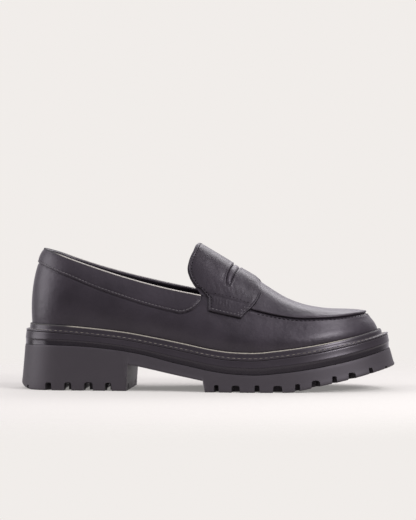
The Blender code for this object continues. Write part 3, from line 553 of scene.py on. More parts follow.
class Graph:
    """The nodes of a material or of the world."""

    def __init__(self, holder: bpy.types.Material | bpy.types.World) -> None:
        """Open the nodes of a new material or world."""
        holder.use_nodes = True
        self.holder = holder
        self.tree = holder.node_tree

    def node(
        self, kind: str, settings: dict[str, object], inputs: dict[object, object], out: object = 0
    ) -> Wire:
        """Add a node.

        Args:
            kind: Type of the node.
            settings: Its own settings, set first.
            inputs: Values or wires by the name or number of the socket.
            out: Name or number of the output.

        Returns:
            The output.
        """
        node = self.tree.nodes.new(kind)
        for key, value in settings.items():
            if key == "stops":
                self._ramp(node, value)
            else:
                setattr(node, key, value)
        for key, value in inputs.items():
            self.feed(node.inputs[key], value)
        return Wire(self, node.outputs[out])

    @staticmethod
    def _ramp(node: bpy.types.Node, stops: list[tuple[float, float]]) -> None:
        """Set a ramp's grey stops."""
        elements = node.color_ramp.elements
        while len(elements) < len(stops):
            elements.new(0.5)
        for element, (position, grey) in zip(elements, stops):
            element.position = position
            element.color = (grey, grey, grey, 1.0)

    def feed(self, socket: bpy.types.NodeSocket, value: object) -> None:
        """Link a wire to a socket, or set its value."""
        if isinstance(value, Wire):
            self.tree.links.new(value.socket, socket)
        else:
            socket.default_value = value

    def finished(self, sockets: dict[str, object]) -> bpy.types.Material:
        """Feed the Principled shader's sockets and return the material."""
        for name, value in sockets.items():
            self.feed(self.tree.nodes["Principled BSDF"].inputs[name], value)
        return self.holder

    def maths(self, operation: str, one: object, other: object) -> Wire:
        """Return a sum, product or other operation on two values."""
        return self.node("ShaderNodeMath", {"operation": operation}, {0: one, 1: other})

    def coordinates(self) -> Wire:
        """Return the piece's own coordinates, in metres."""
        return self.node("ShaderNodeTexCoord", {}, {}, "Object")

    def noise(
        self, scale: float, detail: float = 3.0, stretch: tuple[float, float, float] = (1, 1, 1)
    ) -> Wire:
        """Return noise with features of about 1 / scale metres, stretched along the axes."""
        at = self.node("ShaderNodeMapping", {}, {"Vector": self.coordinates(), "Scale": stretch})
        return self.node("ShaderNodeTexNoise", {}, {"Vector": at, "Scale": scale, "Detail": detail})

    def cells(self, scale: float) -> Wire:
        """Return the distance to the borders of cells of about 1 / scale metres."""
        place_in = {"Vector": self.coordinates(), "Scale": scale}
        return self.node("ShaderNodeTexVoronoi", {"feature": "DISTANCE_TO_EDGE"}, place_in)

    def ramp(self, value: Wire, stops: list[tuple[float, float]]) -> Wire:
        """Return a value passed through a ramp of grey stops."""
        return self.node("ShaderNodeValToRGB", {"stops": stops}, {0: value})

    def blend(self, factor: object, one: object, other: object) -> Wire:
        """Return a colour between two by a factor."""
        inputs = {0: factor, 6: one, 7: other}
        return self.node("ShaderNodeMix", {"data_type": "RGBA", "clamp_factor": True}, inputs, 2)

    def step(self, value: Wire, start: float, end: float, before: float = 0.0, after: float = 1.0) -> Wire:
        """Return a smooth step from one number to another as a value goes from start to end."""
        ends = {"Value": value, "From Min": start, "From Max": end, "To Min": before, "To Max": after}
        return self.node("ShaderNodeMapRange", {"interpolation_type": "SMOOTHSTEP"}, ends)

    def along(self, axis: str) -> Wire:
        """Return one of the piece's own coordinates, in metres."""
        return self.node("ShaderNodeSeparateXYZ", {}, {0: self.coordinates()}, axis)

    def bump(self, height: Wire, depth: float, under: "Wire | None" = None) -> Wire:
        """Return a normal bent by a height of up to depth metres, over another if given."""
        inputs: dict[object, object] = {"Height": height, "Distance": depth, "Strength": 1.0}
        if under is not None:
            inputs["Normal"] = under
        return self.node("ShaderNodeBump", {}, inputs)


Colour = tuple[float, float, float, float]
TINT: Colour = (0.97, 0.89, 1.0, 1.0)
WAY_DOWN = "way_down"


@dataclass(frozen=True)
class Leather:
    """Smooth finished leather: fine pebbles, pores, slow unevenness and a soft gloss.

    Sizes are in metres and colours are linear.
    """

    name: str
    dark: Colour = (0.0095, 0.0072, 0.0100, 1.0)
    light: Colour = (0.0190, 0.0150, 0.0200, 1.0)
    gloss: float = 0.40
    gloss_spread: float = 0.10
    grain: float = 0.00085
    grain_depth: float = 0.000022
    uneven_depth: float = 0.0005
    shine: float = 0.5
    coat: float = 0.12
    coat_gloss: float = 0.28

    def material(self) -> bpy.types.Material:
        """Return the material."""
        graph = Graph(bpy.data.materials.new(self.name))
        cloud = graph.noise(38.0, 4.0)
        patch = graph.ramp(cloud, [(0.35, 0.0), (0.68, 1.0)])
        pebbles = graph.ramp(graph.cells(1.0 / self.grain), [(0.0, 0.0), (0.22, 1.0)])
        pores = graph.noise(2600.0, 2.0)
        slow = graph.bump(graph.noise(95.0, 2.0) + graph.noise(340.0, 3.0) * 0.35, self.uneven_depth)
        return graph.finished({
            "Base Color": graph.blend(patch, self.dark, self.light),
            "Roughness": cloud * self.gloss_spread + pores * 0.06 + (self.gloss - self.gloss_spread / 2),
            "Normal": graph.bump(pebbles * 0.7 + pores * 0.3, self.grain_depth, slow),
            "Specular IOR Level": self.shine,
            "Specular Tint": TINT,
            "Coat Weight": self.coat,
            "Coat Roughness": self.coat_gloss,
            "Coat Tint": TINT,
        })


@dataclass(frozen=True)
class Rubber:
    """Moulded rubber: fine speckle from the mould, faint scuffs and its own gloss."""

    name: str
    dark: Colour
    light: Colour
    gloss: float
    speckle: float = 0.0004
    speckle_depth: float = 0.00002

    def material(self) -> bpy.types.Material:
        """Return the material."""
        graph, sockets = self.surface()
        return graph.finished(sockets)

    def surface(self) -> tuple[Graph, dict[str, object]]:
        """Return the graph and what its shader's sockets take."""
        graph = Graph(bpy.data.materials.new(self.name))
        cloud = graph.noise(60.0, 5.0)
        scuffs = graph.ramp(graph.noise(260.0, 6.0, (0.35, 0.35, 1.6)), [(0.60, 0.0), (0.74, 1.0)])
        grain = graph.noise(1.0 / self.speckle, 2.0)
        return graph, {
            "Base Color": graph.blend(cloud * 0.8 + scuffs * 0.25, self.dark, self.light),
            "Roughness": scuffs * 0.10 + cloud * 0.08 + (self.gloss - 0.05),
            "Normal": graph.bump(grain, self.speckle_depth),
            "Specular Tint": TINT,
        }


@dataclass(frozen=True)
class ShadedBandRubber(Rubber):
    """Moulded rubber with painted shade along its lower half: a darker, smoother band, read from the way down
    the side, that stands in for the shade under the band's belly.
    """

    # band is the colour of the painted shade on the lower half.
    band: Colour = (0.0105, 0.0087, 0.0108, 1.0)
    shade_start: float = 0.46
    shade_end: float = 0.55
    smoother: float = 0.11

    def material(self) -> bpy.types.Material:
        """Return the material."""
        graph, sockets = self.surface()
        down = graph.node("ShaderNodeAttribute", {"attribute_name": WAY_DOWN}, {}, "Fac")
        # low masks the painted shade: 0 above, 1 on the lower half.
        low = graph.step(down, self.shade_start, self.shade_end)
        sockets["Base Color"] = graph.blend(low, sockets["Base Color"], self.band)
        sockets["Roughness"] = sockets["Roughness"] - low * self.smoother
        return graph.finished(sockets)


@dataclass(frozen=True)
class Thread:
    """Waxed sewing thread, twisted from strands."""

    name: str
    dark: Colour
    light: Colour
    shine: float = 0.3
    twist_depth: float = 0.00006

    def material(self) -> bpy.types.Material:
        """Return the material."""
        graph = Graph(bpy.data.materials.new(self.name))
        strands = graph.noise(2400.0, 2.0, (1.0, 1.0, 2.2))
        tone = graph.ramp(graph.noise(140.0, 2.0), [(0.3, 0.0), (0.7, 1.0)])
        return graph.finished({
            "Base Color": graph.blend(tone, self.dark, self.light),
            "Roughness": strands * 0.2 + 0.45,
            "Normal": graph.bump(strands, self.twist_depth),
            "Specular IOR Level": self.shine,
        })


@dataclass(frozen=True)
class CutEdgeHighlight:
    """A pale line along an edge, dark again round the heel and, on the rand, round the toe. The pale tone is
    a painted highlight where light catches the edge, and on the topline partly also the leather's own cut
    edge.
    """

    name: str
    # The first tone is the painted highlight's, the second the edge's own dark one.
    pale: Colour = (0.55, 0.52, 0.48, 1.0)
    edge_dark: Colour = (0.02, 0.018, 0.021, 1.0)
    heel_end: float = -0.118
    heel_fade: float = 0.012
    toe_end: float = 0.5
    toe_fade: float = 0.024
    fibre_depth: float = 0.00008

    def material(self) -> bpy.types.Material:
        """Return the material."""
        graph = Graph(bpy.data.materials.new(self.name))
        along = graph.along("X")
        # shown marks where the painted highlight is pale: from heel_end to toe_end.
        shown = graph.step(along, self.heel_end, self.heel_end + self.heel_fade)
        shown = shown * graph.step(along, self.toe_end - self.toe_fade, self.toe_end, 1.0, 0.0)
        fibre = graph.noise(900.0, 4.0)
        shade = graph.ramp(fibre, [(0.25, 0.55), (0.65, 1.0)])
        return graph.finished({
            "Base Color": graph.blend(shown * shade, self.edge_dark, self.pale),
            "Roughness": fibre * 0.2 + 0.5,
            "Normal": graph.bump(fibre, self.fibre_depth),
        })


@dataclass(frozen=True)
class Band:
    """How far the collar's band reaches down the wall."""

    last: Last
    front: float = 140.8
    round_from: float = 124.0
    rows: Table = Table(
        ((16.0, 13.6), (35.0, 15.6), (60.0, 16.3), (80.0, 16.4), (100.0, 16.9), (124.0, 17.2)), 4.0
    )

    def depth(self, station: Points) -> Points:
        """Return the band's depth at a station: the table's D, then D(1 - u^1.7)^0.6 round its front end."""
        u = np.clip((station - self.round_from) / (self.front - self.round_from), 0.0, 1.0)
        return self.rows(station) * (1 - u**1.7) ** 0.6


@dataclass(frozen=True)
class Vamp:
    """The side wall of the upper: the quarters behind and the vamp in front, up to the apron's seam.

    Each crease is a soft trough along a line seen from the side: start station and height, end station and
    height, width, and depth.
    """

    last: Last
    band: Band
    finish: bpy.types.Material
    columns: int = 560
    rows: int = 84
    leather: float = 1.15
    creases: Rows = (
        (150.0, 58.0, 163.0, 47.0, 5.0, 0.30),
        (166.0, 55.0, 180.0, 43.0, 5.5, 0.26),
        (176.0, 50.0, 196.0, 44.0, 7.0, 0.22),
        (128.0, 52.0, 146.0, 44.0, 9.0, 0.25),
        (196.0, 52.0, 214.0, 47.0, 6.0, 0.18),
        (60.0, 62.0, 92.0, 56.0, 12.0, 0.30),
    )

    def angles(self) -> Points:
        """Return the angles of the columns, closer together at the band's front ends."""
        close = 126.0 + 17.0 * np.linspace(0.0, 1.0, 26)
        extra = [self.last.top_angle(close, side) for side in Side]
        return np.unique(np.round(np.concatenate([around(self.columns), *extra]), 6))

    def relief(self, face: Points, theta: Points, share: Points) -> Points:
        """Return how far the leather stands off the last: creases, crevices below band and apron, a swell.

        A crease is minus its depth times a bell curve of the distance from its line in station and height.

        Args:
            face: Points of the last's surface.
            theta: Their angles.
            share: Their shares of the wall.

        Returns:
            The height of the leather over the last.
        """
        spot = face[..., [0, 2]]
        total = np.zeros(face.shape[:-1])
        for x0, z0, x1, z1, width, depth in self.creases:
            total -= depth * hump(away_from(spot, np.array([x0, z0]), np.array([x1, z1])), 0.0, width)
        below = (1.0 - share) * self.last.wall_length(theta)
        station = self.last.top_station(theta)
        front = ease(station, 150.0, 182.0)
        behind = 1 - ease(station, 138.0, 141.0)
        total -= behind * 0.5 * hump(below, self.band.depth(station) + 0.5, 0.7)
        return total + front * (0.45 * hump(below, 3.4, 2.0) - 0.55 * hump(below, 0.6, 1.0))

    def build(self) -> bpy.types.Object:
        """Build the wall: rows from the welt's crevice up to the topline or the apron, outside and back."""
        last = self.last
        theta = self.angles()[:, None]
        length = last.wall_length(theta)
        behind = 1 - ease(last.top_station(theta), 138.6, 142.6)
        end = 1.0 - 1.9 * behind / length
        climb = np.linspace(0.0, 1.0, self.rows)[None, :]
        climb = climb + 0.06 * np.sin(2 * math.pi * climb)
        shares = end * climb
        face = last.surface(theta, shares)
        facing = last.normal(theta, shares)
        outer = face + facing * self.relief(face, theta, shares)[..., None]
        tuck = outer[:, :1] - UP * 0.9 - last.outward(theta) * 0.5
        coarse = end * np.linspace(0.0, 1.0, 9)[None, :]
        inner = last.surface(theta, coarse) - last.normal(theta, coarse) * self.leather
        skin = Skin()
        skin.sheets(np.concatenate([tuck, outer], axis=1), inner)
        return dress(skin.build("vamp_and_quarters", self.finish), "leather_black", "upper")


@dataclass(frozen=True)
class Lining:
    """The lining inside the wall."""

    last: Last
    finish: bpy.types.Material
    columns: int = 280
    rows: int = 22
    outer_depth: float = 1.3
    inner_depth: float = 2.4

    def build(self) -> bpy.types.Object:
        """Build the lining as two offsets of the wall, closed at both edges."""
        last = self.last
        theta = around(self.columns)[:, None]
        end = 1.0 - 1.9 / last.wall_length(theta)
        shares = end * np.linspace(0.0, 1.0, self.rows)[None, :]
        face = last.surface(theta, shares)
        facing = last.normal(theta, shares)
        skin = Skin()
        skin.sheets(face - facing * self.outer_depth, face - facing * self.inner_depth)
        return dress(skin.build("upper_lining", self.finish), "leather_black", "upper")


@dataclass(frozen=True)
class Slot:
    """The slot across the saddle, which the tongue fills from below."""

    station: float = 159.6
    lean: float = 5.2
    half: float = 2.4
    reach: float = 0.76
    pad: float = 1.3
    pad_half: float = 2.1

    def middle(self, share: Points) -> Points:
        """Return the station of the slot's middle, which leans forward up to the ridge."""
        return self.station + self.lean * ease(share, 1.2, 2.0)

    def width(self, share: Points) -> Points:
        """Return the slot's half width, w(1 - t^6)^0.5 with t the way down from the ridge."""
        t = np.clip((2.0 - share) / self.reach, 0.0, 1.0)
        return self.half * np.sqrt(1 - t**6)

    def filling(self, station: Points, share: Points) -> Points:
        """Return how far the tongue swells up into the slot, p(1 - (d/h)^4)^0.5 across its middle."""
        across = (station - self.middle(share)) / self.pad_half
        return self.pad * ease(share, 1.28, 1.36) * np.sqrt(np.maximum(1 - across**4, 0.0))


@dataclass(frozen=True)
class Apron:
    """The raised apron and, behind it, the tongue that carries the saddle."""

    last: Last
    finish: bpy.types.Material
    columns: int = 320
    lap_start: float = 164.6
    lap_full: float = 187.9
    lap_seated: float = 0.25
    lap: float = 1.5
    thick: float = 2.4
    tongue_thick: float = 1.8
    tongue_root: float = 141.0
    lead_end: float = 172.0
    slot: Slot = Slot()
    lip_steps: Rows = (
        (0.75, -0.25, 0.0), (1.0, 0.15, 0.0), (1.1, 0.5, 0.0), (1.0, 0.8, 0.05), (0.7, 0.7, 0.35),
        (0.35, 0.35, 0.72), (0.05, 0.1, 0.98),
    )
    tongue_edge: Table = Table(
        ((1.00, 141.0), (1.08, 137.6), (1.18, 132.4), (1.32, 129.2), (1.48, 130.6), (1.70, 133.8),
         (2.00, 135.6)),
        0.035,
    )

    def lap_height(self, theta: Points) -> Points:
        """Return how far the apron's face stands over the last, growing in front of the tongue."""
        grown = ease(self.last.top_station(theta), self.lap_start, self.lap_full)
        return self.lap_seated + (self.lap - self.lap_seated) * grown

    def row_stations(self, ring: Points, share: Points) -> Points:
        """Return the station of each grid point: the ring's own, led by the tongue's rear edge behind."""
        plain = self.last.top_station(ring)[:, None]
        lead = 1 - ease(plain, self.tongue_root, self.lead_end)
        return plain + (self.tongue_edge(share)[None, :] - self.tongue_root) * lead

    def lip(self, ring: Points) -> Points:
        """Return the rounded lip along the seam, from under its edge up to its crown.

        Each row is the seam plus a step down the wall and a step out, both in shares of the lap.
        """
        last = self.last
        seam = last.top(ring)[:, None]
        out = last.normal(ring, np.ones_like(ring))[:, None]
        over = last.seam_normal(ring)[:, None]
        down = unit(last.surface(ring, np.full_like(ring, 0.95)) - last.top(ring))[:, None]
        high = self.lap_height(ring)[:, None, None]
        drop = (high - self.lap_seated) * 0.7
        steps = np.array(self.lip_steps)[None]
        return seam + down * drop * steps[..., :1] + (out * steps[..., 1:2] + over * steps[..., 2:3]) * high

    def half(self, side: Side) -> tuple[Points, Points]:
        """Return the outer and inner grids of one half, from its seam to the ridge.

        Args:
            side: Side of the shoe.

        Returns:
            The outer grid and the inner grid.
        """
        last = self.last
        ring = np.linspace(math.pi / 2, math.pi, self.columns)
        if side is Side.INNER:
            ring = 2 * math.pi - ring
        climb = np.linspace(0.0, 1.0, 46)[1:]
        share = 1.0 + 0.02 + 0.98 * (0.55 * climb + 0.45 * climb**2)
        share[-1] = 2.0
        theta = last.top_angle(self.row_stations(ring, share), side)
        rows = np.broadcast_to(share, theta.shape)
        face = last.surface(theta, rows)
        facing = last.normal(theta, rows)
        height = self.lap_height(theta) + self.slot.filling(last.top_station(theta), rows)
        outer = np.concatenate([self.lip(ring), face + facing * height[..., None]], axis=1)
        few = np.unique(np.concatenate([np.arange(0, len(share), 4), [len(share) - 1]]))
        thin = self.thick - (self.thick - self.tongue_thick) * ease(share[few], 1.0, 1.3)
        inside = face[:, few] - facing[:, few] * thin[None, :, None]
        foot = (last.top(ring) - last.seam_normal(ring) * self.thick)[:, None]
        return outer, np.concatenate([foot, inside], axis=1)

    def build(self) -> bpy.types.Object:
        """Build both halves, joined along the ridge, with the tongue's rear edge rounded."""
        skin = Skin()
        for side in Side:
            outer, inner = self.half(side)
            near = skin.add(outer)
            far = skin.add(inner)
            skin.face(near)
            skin.face(far)
            skin.strip(near[:, 0], far[:, 0])
            self.rear_edge(skin, outer, inner, near, far)
        return dress(skin.build("apron_and_tongue", self.finish), "leather_black", "upper")

    @staticmethod
    def rear_edge(skin: Skin, outer: Points, inner: Points, near: Points, far: Points) -> None:
        """Close the tongue's rear edge between the finer outer line and the coarser inner one.

        Each inner point is joined to the run of outer points that is nearest to it.
        """
        line = outer[0]
        other = inner[0]
        gap = np.linalg.norm(line[:, None] - other[None], axis=-1)
        match = np.maximum.accumulate(np.argmin(gap, axis=1))
        match[0] = 0
        match[-1] = len(other) - 1
        for k in range(len(line) - 1):
            skin.lid([near[0, k], near[0, k + 1], *far[0, match[k] : match[k + 1] + 1][::-1]])


@dataclass(frozen=True)
class Collar:
    """The folded band of leather round the topline, sewn over the quarters and rolled inside."""

    last: Last
    band: Band
    finish: bpy.types.Material
    hang: float = 14.0
    roll: float = 1.25
    full_band: float = 9.0
    edge_below: float = 0.42
    edge_height: float = 0.22
    edge_radius: float = 0.58
    foot: Rows = (
        (-0.25, -0.1), (0.0, 0.2), (0.06, 0.45), (0.2, 0.66), (0.5, 0.84), (0.9, 0.86), (1.3, 0.68),
        (1.7, 0.66), (2.1, 0.84), (2.6, 0.96),
    )

    def fullness(self, deep: Points) -> Points:
        """Return how full the section is, from 0 at the band's front ends to 1 where it is deep."""
        return np.clip(deep / self.full_band, 0.0, 1.0)

    def angles(self) -> Points:
        """Return the columns' angles, from one front end round the heel to the other."""
        start, front = self.band.round_from, self.band.front
        plain = np.linspace(0.0, float(self.last.top_angle(np.array(start), Side.OUTER)), 100)[:-1]
        closing = 1 - (1 - np.linspace(0.0, 1.0, 34)) ** 1.9
        ahead = self.last.top_angle(start + (front - start) * closing, Side.OUTER)
        one = np.concatenate([plain, ahead])
        return np.concatenate([-one[:0:-1], one])

    def profile(self, deep: Points) -> tuple[Points, Points]:
        """Return the band's section: distances below the topline and heights over the last.

        It goes from its foot up over the rolled top, which is half a circle, and down inside.

        Args:
            deep: Depth of the band at each column, as one column.

        Returns:
            The distances and the heights, a row for each column.
        """
        full = self.fullness(deep)
        roll = self.roll
        up, stand = np.array(self.foot).T
        climb = np.linspace(0.0, 1.0, 12)[1:-1]
        reach = np.maximum(deep - roll - up[-1] * full, 0.3)
        low = deep - up[None, :] * full
        middle = roll + reach * (1 - climb)[None, :]
        puff = 0.96 + 0.35 * np.sin(math.pi * climb) - 0.36 * climb
        turn = np.linspace(0.0, math.pi, 15)
        over = roll - 1.35 * np.sin(turn)
        round_top = -0.95 + 1.55 * np.cos(turn)
        inside = np.linspace(0.12, 1.0, 9)
        hang = roll + self.hang * inside
        back = -2.5 - 0.55 * np.sin(math.pi * np.clip(inside, 0, 1)) + 0.25 * inside
        ones = np.ones_like(deep)
        below = [low, middle, ones * over, ones * hang, ones * (roll + self.hang - 0.3)]
        height = [stand * full, 0.6 + (puff - 0.6) * full, ones * round_top, ones * back, ones * -1.6]
        return np.concatenate(below, axis=1), np.concatenate(height, axis=1)

    def on(self, theta: Points, below: Points, height: Points) -> Points:
        """Return points at a distance below the topline and a height over the last."""
        theta, below, height = np.broadcast_arrays(theta, below, height)
        share = 1.0 - below / self.last.wall_length(theta)
        held = np.minimum(share, 1.0)
        rise = np.maximum(share - 1.0, 0.0) * self.last.wall_length(theta)
        up = unit(self.last.surface(theta, 1.0) - self.last.surface(theta, 0.96))
        face = self.last.surface(theta, held) + up * rise[..., None]
        return face + self.last.normal(theta, held) * height[..., None]

    def build(self) -> bpy.types.Object:
        """Build the band as its section carried round the heel, with both ends closed."""
        theta = self.angles()[:, None]
        below, height = self.profile(self.band.depth(self.last.top_station(theta)))
        skin = Skin()
        skin.bar(self.on(theta, below, height))
        return dress(skin.build("collar_band", self.finish), "collar_leather", "collar")

    def cut_edge(self, finish: bpy.types.Material) -> bpy.types.Object:
        """Build the pale cut edge, a thin bead along the outer shoulder of the roll. Its pale colour is
        partly the leather's raw edge and partly a painted highlight where top light catches the roll.
        """
        theta = self.angles()[6:-6]
        line = self.on(theta, self.edge_below, self.edge_height)
        bead = tube(line, self.last.seam_normal(theta), self.edge_radius)
        return dress(bead.build("topline_pale_edge_highlight", finish), "collar_leather", "collar")


def tube(line: Points, side: Points, radius: float, steps: int = 8, closed: bool = False) -> Skin:
    """Carry a circle along a line: each point is the line plus radius times (cos a side + sin a across).

    Args:
        line: Points of the line.
        side: Directions across it.
        radius: Radius of the tube.
        steps: Points round the circle.
        closed: Whether the line is a loop.

    Returns:
        The skin of the tube.
    """
    if closed:
        along = unit(np.roll(line, -1, axis=0) - np.roll(line, 1, axis=0))
    else:
        along = unit(np.gradient(line, axis=0))
    across = unit(np.cross(along, side))
    level = np.cross(across, along)
    turn = around(steps)
    ring = level[:, None] * np.cos(turn)[None, :, None] + across[:, None] * np.sin(turn)[None, :, None]
    skin = Skin()
    sections = line[:, None] + ring * radius
    if closed:
        skin.face(skin.add(sections), wrap_rows=True, wrap_columns=True)
    else:
        skin.bar(sections)
    return skin


@dataclass(frozen=True)
class Saddle:
    """The strap over the instep: its slot, its turned edges and its stitched tabs down both sides."""

    last: Last
    apron: Apron
    finish: bpy.types.Material
    leather: float = 1.6
    gap: float = 0.3
    turned: float = 0.95
    skived: float = 3.6
    stitch_inset: float = 2.0
    stitch_dip: float = 0.22
    behind_edge: float = 0.9
    overhang: float = 1.1
    tab_rear: float = 146.0
    tab_slant: float = 2.4
    corner: float = 145.0
    corner_slope: float = 60.0
    corner_end: float = 1.10
    tab_share: float = 0.3
    tab_deep: float = 10.5
    seat_slack: float = 0.05
    across: float = 38.0
    edge_row: float = 2.5
    front_rows: Table = Table(
        ((0.70, 170.5), (0.85, 174.0), (1.00, 178.6), (1.20, 182.6), (1.45, 184.6), (1.75, 183.0),
         (2.00, 181.2)),
        0.03,
    )
    tab: Table = Table(((141.0, 10.6), (150.0, 11.0), (172.0, 10.2), (180.0, 9.8)), 1.0)
    wrinkles: Rows = (
        (150, 1.50, 152.5, 1.36, 0.94, 0.10),
        (153.2, 1.56, 155.4, 1.34, 1.02, 0.12),
        (156.6, 1.44, 158.6, 1.26, 0.85, 0.13),
        (160.2, 1.36, 161.6, 1.20, 0.85, 0.11),
        (163, 1.34, 165, 1.16, 1.02, 0.12),
        (166.5, 1.40, 168, 1.22, 1.1, 0.08),
        (147, 1.30, 151, 1.16, 1.1, 0.10),
        (154, 1.24, 157, 1.12, 0.94, 0.10),
        (159.5, 1.72, 156.5, 1.55, 1.19, 0.07),
        (170, 1.60, 173, 1.35, 2.21, 0.12),
        (145, 1.75, 147.5, 1.45, 2.72, 0.13),
    )

    def shares(self) -> Points:
        """Return the columns' shares from the tab's foot to the ridge: tab 0.7 to 1 and strap 1 to 2."""
        close = np.array([1.0, 0.994, 0.98, 0.955, 0.92, 0.87])
        tab = 1 - self.tab_share * np.concatenate([close, np.arange(8, 0, -1) / 10])
        end = 2.0 - self.apron.slot.reach
        low = np.linspace(1.0, end - 0.012, 34)
        round_end = end + np.array([-0.006, 0.0, 0.003, 0.008, 0.016, 0.03, 0.05, 0.08])
        high = np.linspace(end + 0.1, 2.0, 44)
        return np.concatenate([tab, low, round_end, high])

    def rear(self, share: Points) -> Points:
        """Return the station of the rear edge: just ahead of the tongue's edge, and square down the tab."""
        along = self.apron.tongue_edge(share) + self.behind_edge - self.overhang * ease(share, 1.1, 1.6)
        corner = self.corner - self.corner_slope * np.clip(share - 1.0, 0, 1)
        plain = np.where(share >= 1.0, along, self.tab_rear - self.tab_slant * (share - 1.0))
        return np.maximum(plain, np.where(share < self.corner_end, corner, 0.0))

    def lift(self, away: Points, turned: Points) -> Points:
        """Return the outer face's height near an edge: a quarter round, then a dip for the stitches."""
        round_edge = np.sqrt(np.clip(1 - (1 - np.clip(away / turned, 0, 1)) ** 2, 0, 1))
        return self.leather * round_edge - self.stitch_dip * hump(away, self.stitch_inset, 0.55)

    def on(self, side: Side, station: Points, share: Points, height: Points) -> Points:
        """Return points at a height over the seat of the saddle.

        Args:
            side: Side of the shoe.
            station: Stations on the top curve.
            share: Share from the tab's foot, 0.7, over the seam, 1, to the ridge, 2.
            height: Height over the seat.

        Returns:
            The points.
        """
        theta = self.last.top_angle(station, side)
        drop = (1 - share) / self.tab_share * self.tab(station)
        across = np.where(share < 1.0, 1 - drop / self.last.wall_length(theta), share)
        face = self.last.surface(theta, across)
        seat = self.gap + self.apron.lap_height(theta) + self.seat_slack
        return face + self.last.normal(theta, across) * (seat + height)[..., None]

    def half(self, side: Side) -> tuple[Points, Points]:
        """Return the under and outer grids of one half, rows from the rear edge to the front.

        Args:
            side: Side of the shoe.

        Returns:
            The under grid and the outer grid.
        """
        share = self.shares()
        near = np.array([0.0, 0.05, 0.16, 0.34, 0.6, 0.95, 1.4, 1.9, 2.5])
        rear = self.rear(share)
        front = self.front_rows(share)
        opening = self.apron.slot
        middle = opening.middle(share)
        width = opening.width(share)
        slot = width / opening.half
        early_end = middle - width
        late_start = middle + width
        between = np.linspace(0.0, 1.0, 16)[1:-1][:, None]
        early = self.rows_between(rear, early_end, near, between)
        late = self.rows_between(late_start, front, near, between)
        far = 50.0
        from_slot_early = np.where(slot > 0, early_end - early, far)
        from_slot_late = np.where(slot > 0, late - late_start, far)
        foot = (share - 1 + self.tab_share) / self.tab_share * self.tab_deep
        grids = []
        skived = self.turned + self.skived * ease(share, 1.35, 1.7)
        behind = (early - rear, from_slot_early, self.turned)
        ahead = (front - late, from_slot_late, skived)
        for edge, hole, turned in (behind, ahead):
            plain = self.lift(edge, turned)
            plain = np.where(share < 1.0, np.minimum(plain, self.lift(foot, self.turned)), plain)
            cut = np.minimum(plain, self.lift(hole, self.turned))
            grids.append(plain + (cut - plain) * slot[None, :])
        station = np.concatenate([early, late])
        rows = np.broadcast_to(share, station.shape)
        height = np.concatenate(grids) + self.relief(station, rows)
        height[[0, -1]] = 0.0
        height[:, 0] = 0.0
        for row in (len(early) - 1, len(early)):
            height[row, slot >= 0.999] = 0.0
        return self.on(side, station, rows, 0 * height), self.on(side, station, rows, height)

    def rows_between(self, start: Points, end: Points, near: Points, between: Points) -> Points:
        """Return the stations of rows from one edge to another, close together along both edges."""
        inner = self.edge_row
        middle = start + inner + (end - inner - start - inner) * between
        return np.concatenate([start + near[:, None], middle, end - near[::-1][:, None]])

    def relief(self, station: Points, share: Points) -> Points:
        """Return the wrinkles: troughs of bell section along short lines, and puckers in the tab.

        A wrinkle is minus its depth times a bell curve of the distance from its line, with a share of 1 taken
        as 38 mm. The puckers are a sine along the tab.
        """
        scale = np.array([1.0, self.across])
        spot = np.stack([station, share * self.across], axis=-1)
        total = np.zeros_like(station)
        for x0, v0, x1, v1, width, depth in self.wrinkles:
            away = away_from(spot, np.array([x0, v0]) * scale, np.array([x1, v1]) * scale)
            total -= depth * (hump(away, 0.0, width) - 0.35 * hump(away, 1.8 * width, width))
        puckers = hump(share, 0.94, 0.06) * np.sin(2 * math.pi * station / 2.3)
        seam = hump(share, 1.03, 0.025)
        return total + 0.06 * puckers - 0.30 * seam

    def build(self) -> bpy.types.Object:
        """Build the saddle from an under sheet and an outer sheet that meet along every edge."""
        skin = Skin()
        rows_before_slot = 9 + 14 + 9
        for side in Side:
            for grid in self.half(side):
                index = skin.add(grid)
                skin.face(index[:rows_before_slot])
                skin.face(index[rows_before_slot:])
        return dress(skin.build("saddle_strap", self.finish), "saddle_leather", "saddle")


def rounded(points: Rows, per: int = 4) -> Points:
    """Return a section with its corners cut round, by Chaikin's rule done per times.

    Args:
        points: The corners, of which the first and the last stay.
        per: How many times the corners are cut.

    Returns:
        The finer section.
    """
    line = np.array(points, dtype=float)
    for _ in range(per):
        quarter = line[:-1] * 0.75 + line[1:] * 0.25
        later = line[:-1] * 0.25 + line[1:] * 0.75
        middle = np.stack([quarter, later], axis=1).reshape(-1, line.shape[1])
        line = np.concatenate([line[:1], middle[1:-1], line[-1:]])
    return line


